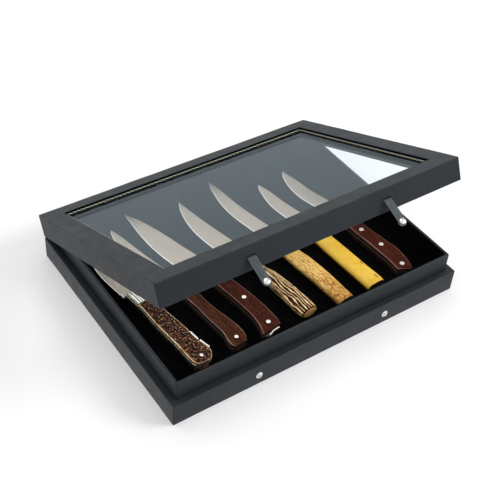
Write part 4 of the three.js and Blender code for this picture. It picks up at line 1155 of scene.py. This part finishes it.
def add_horn(knife, look, relief):
    hidden_length = 40
    half = min(3.2, knife["spine"][0][1] - 1)
    handle = knife["handle"]
    tang = [tang_ring(-half, half, y, knife["tang"] / 2 - 0.2) for y in (handle - hidden_length, handle)]
    add_steel(knife, tang, STEEL)
    end = handle - knife["bolster"]
    rings, values, shades = horn_rings(knife, relief, 0.0, end)
    if "nicks" in knife:
        values = nick_values(knife, rings)
    knife_piece(knife, "grip", rings, look, "handle", relief=values, edge=shades, sharp=50)
    if knife["bolster"]:
        rings, _, _ = horn_rings(knife, lambda a, y: (0.6, 0.0), end + 0.05, handle, 48, 10)
        knife_piece(knife, "collar", rings, DULL, "bolster", sharp=50)


def nick_values(knife, rings):
    """Dark nicks in a smooth handle, as a value for each vertex."""
    values = []
    for x, y, z in (vertex for ring in rings for vertex in ring):
        value = 0.0
        for at_x, at_y, half in knife["nicks"]:
            distance = math.hypot((x - at_x) / 0.9, (y - at_y) / half)
            value = max(value, min(1.0, 1.7 - 1.3 * distance)) if z > 0 else value
        values.append(value)
    return values


def add_folder(knife, look):
    """Knife 1: blade and back spring between brass liners, bolsters in front, jigged scales."""
    length, liner = knife["handle"], knife["liner"]
    bolt_at = length - knife["bolster"]
    half = knife["tang"] / 2
    tang = []
    for y in (bolt_at - 3, length - 0.5):
        left, right = widths(knife, y)
        tang.append(tang_ring(-left * 0.6, right * 0.9, y, half))
    # Knife 1's steel is the copy darkened as painted shade.
    add_steel(knife, tang, SHADED_STEEL)
    spring = []
    spring_width, spring_proud = 5, 0.9
    for y in [y for y in handle_places(knife, count=50) if y < bolt_at - 5]:
        left, right = widths(knife, y)
        t = clamp((y - 7) / 5)
        inside = -left + (right - spring_width + left) * t * t * (3 - 2 * t)
        spring.append(tang_ring(inside, right + spring_proud, y, half))
    knife_piece(knife, "spring", spring, STEEL, "backspring", sharp=30)
    nickel = engraved_nickel()
    inner = half + 0.02
    top = inner + liner
    proud, bevel = 1.0, 0.45
    # The lower liner takes the brass darkened as painted shade.
    for side, where, metal in ((1, "upper", BRASS), (-1, "lower", SHADED_BRASS)):
        plate = []
        for y in handle_places(knife, count=60):
            left, right = widths(knife, y)
            out = -left - proud
            section = ((right, inner), (right, top), (out + bevel, top), (out, top - 0.5), (out, inner))
            plate.append([(x, y, side * z) for x, z in section])
        knife_piece(knife, f"{where}_plate", plate, metal, f"{where}_liner", sharp=30)
        rings, relief, _ = scale_rings(knife, inner + 0.01, side, engraved, start=bolt_at, arch=70)
        knife_piece(knife, f"{where}_bolster", rings, nickel, relief=relief, sharp=50)
        rings, relief, flanks = scale_rings(knife, top, side, jigged, end=bolt_at - 0.1, arch=60, count=130,
                                            foot=2.0)
        # Painted shade: the lower scale's flank takes the dark jigged colour instead of the pale flank
        # colour.
        knife_piece(knife, f"{where}_side", rings, look, f"{where}_scale", relief=relief,
                    edge=flanks if side > 0 else [0.0] * len(flanks), sharp=60)
    add_pin(f"{knife['name']}_pin", knife, knife["pins"][0], NICKEL)
    for i, (start, end, out) in enumerate(knife["lugs"]):
        lug = []
        for y in np.linspace(start, end, 15):
            inner = widths(knife, y)[1] + out
            outline, _ = rounded(corners(inner, inner + 1.5, 2.4, 5.8), 0.3, 2)
            lug.append([(x, y, z) for x, z in outline])
        knife_piece(knife, f"lug_{i + 1}", lug, NICKEL, sharp=40)


def add_knives():
    # Each wood's third colour is its painted edge highlight.
    red_wood = oiled_wood("red_wood", (0.024, 0.0056, 0.0027), (0.084, 0.019, 0.0095), srgb(160, 118, 106))
    brown_wood = oiled_wood("brown_wood", (0.016, 0.0044, 0.0021), (0.105, 0.032, 0.0145),
                            srgb(170, 140, 130))
    pale_tones = ((0.3, srgb(12, 5, 2)), (0.48, srgb(96, 44, 12)), (0.62, srgb(208, 136, 62)),
                  (0.84, srgb(252, 224, 170)))
    golden_tones = ((0.1, srgb(112, 54, 12)), (0.36, srgb(184, 116, 38)), (0.56, srgb(228, 176, 88)),
                    (0.8, srgb(250, 208, 124)))
    pale_stag = antler("pale_stag", pale_tones, srgb(34, 20, 8), (1100, 160, 1100), 0.7, 0.5)
    golden_stag = antler("golden_stag", golden_tones, srgb(18, 9, 3), (1450, 200, 1450), 3.0, 0.7)
    ridges = furrowed(count=18, seed=2.4, drift=2.6, depth=1.1, bite=2.4, patchy=0.25)
    lines = furrowed(count=30, seed=8.9, drift=3.4, depth=0.3, bite=0.6, patchy=0.4, level=0.56)
    add_folder(KNIVES[0], jigged_stag())
    add_full_tang(KNIVES[1], brown_wood, PIN)
    add_full_tang(KNIVES[2], red_wood, PIN)
    add_horn(KNIVES[3], pale_stag, ridges)
    add_horn(KNIVES[4], golden_stag, paler_upwards(lines))
    add_horn(KNIVES[5], bone(), furrowed(count=9, seed=5.5, drift=2.0, depth=0.06))
    add_full_tang(KNIVES[6], red_wood, mosaic_pin(reach=2.7))


# Stage: pale floor, soft lights, white background

WHITE = (1.0, 1.0, 1.0)


def add_floor():
    """A pale floor, white far away and in reflections."""
    size = 6000
    sheet = [(x, y, 0) for x, y in corners(-size, size, -size, size)]
    floor = mesh_object("floor", (sheet, [(0, 1, 2, 3)]))
    look = Look("floor", roughness=0.9, specular=0.1)
    look.colour((0.8, 0.8, 0.8))
    look.set("Emission Color", WHITE)
    look.set("Emission Strength", look.times(look.rays("Camera", "Glossy", "Transmission"), 0.2))
    white = look.node("ShaderNodeEmission", Color=WHITE, Strength=1.0)
    centre = look.node("ShaderNodeVectorMath", {"operation": "LENGTH"}, Vector=look.coordinates)
    far = look.times(look.map(centre.outputs["Value"], 0.9, 2.4, 0.0, 1.0), look.rays("Camera"))
    look.blend_shaders(look.math("MAXIMUM", far, look.rays("Glossy")), look.shader, white)
    floor.data.materials.append(look.material)


def add_sky():
    """White where it is seen, and half as strong where it only lights."""
    world = bpy.data.worlds.new("studio")
    bpy.context.scene.world = world
    world.use_nodes = True
    tree = Tree(world.node_tree)
    background = tree.nodes["Background"]
    tree.put(background.inputs["Color"], WHITE)
    seen = tree.rays("Camera", "Glossy", "Transmission")
    tree.put(background.inputs["Strength"], tree.map(seen, 0.0, 1.0, 0.5, 1.0))


def add_lamp(name, place, size, power):
    data = bpy.data.lights.new(name, "AREA")
    data.size = size
    data.energy = power
    lamp = bpy.data.objects.new(name, data)
    lamp.location = place
    lamp.rotation_euler = (Vector(place) * -1).to_track_quat("-Z", "Y").to_euler()
    bpy.context.collection.objects.link(lamp)


add_camera()
bpy.context.scene.view_settings.view_transform = "Standard"
place_knives()
add_base()
add_velvet_floor()
add_studs()
add_lid()
add_straps()
dress_hinges()
add_knives()
add_floor()
add_sky()
add_lamp("key", (1.35, -1.0, 1.4), 0.9, 24)
add_lamp("top", (-0.2, 0.7, 2.0), 1.8, 16)
add_lamp("fill", (-1.3, -0.6, 0.9), 1.0, 2.5)
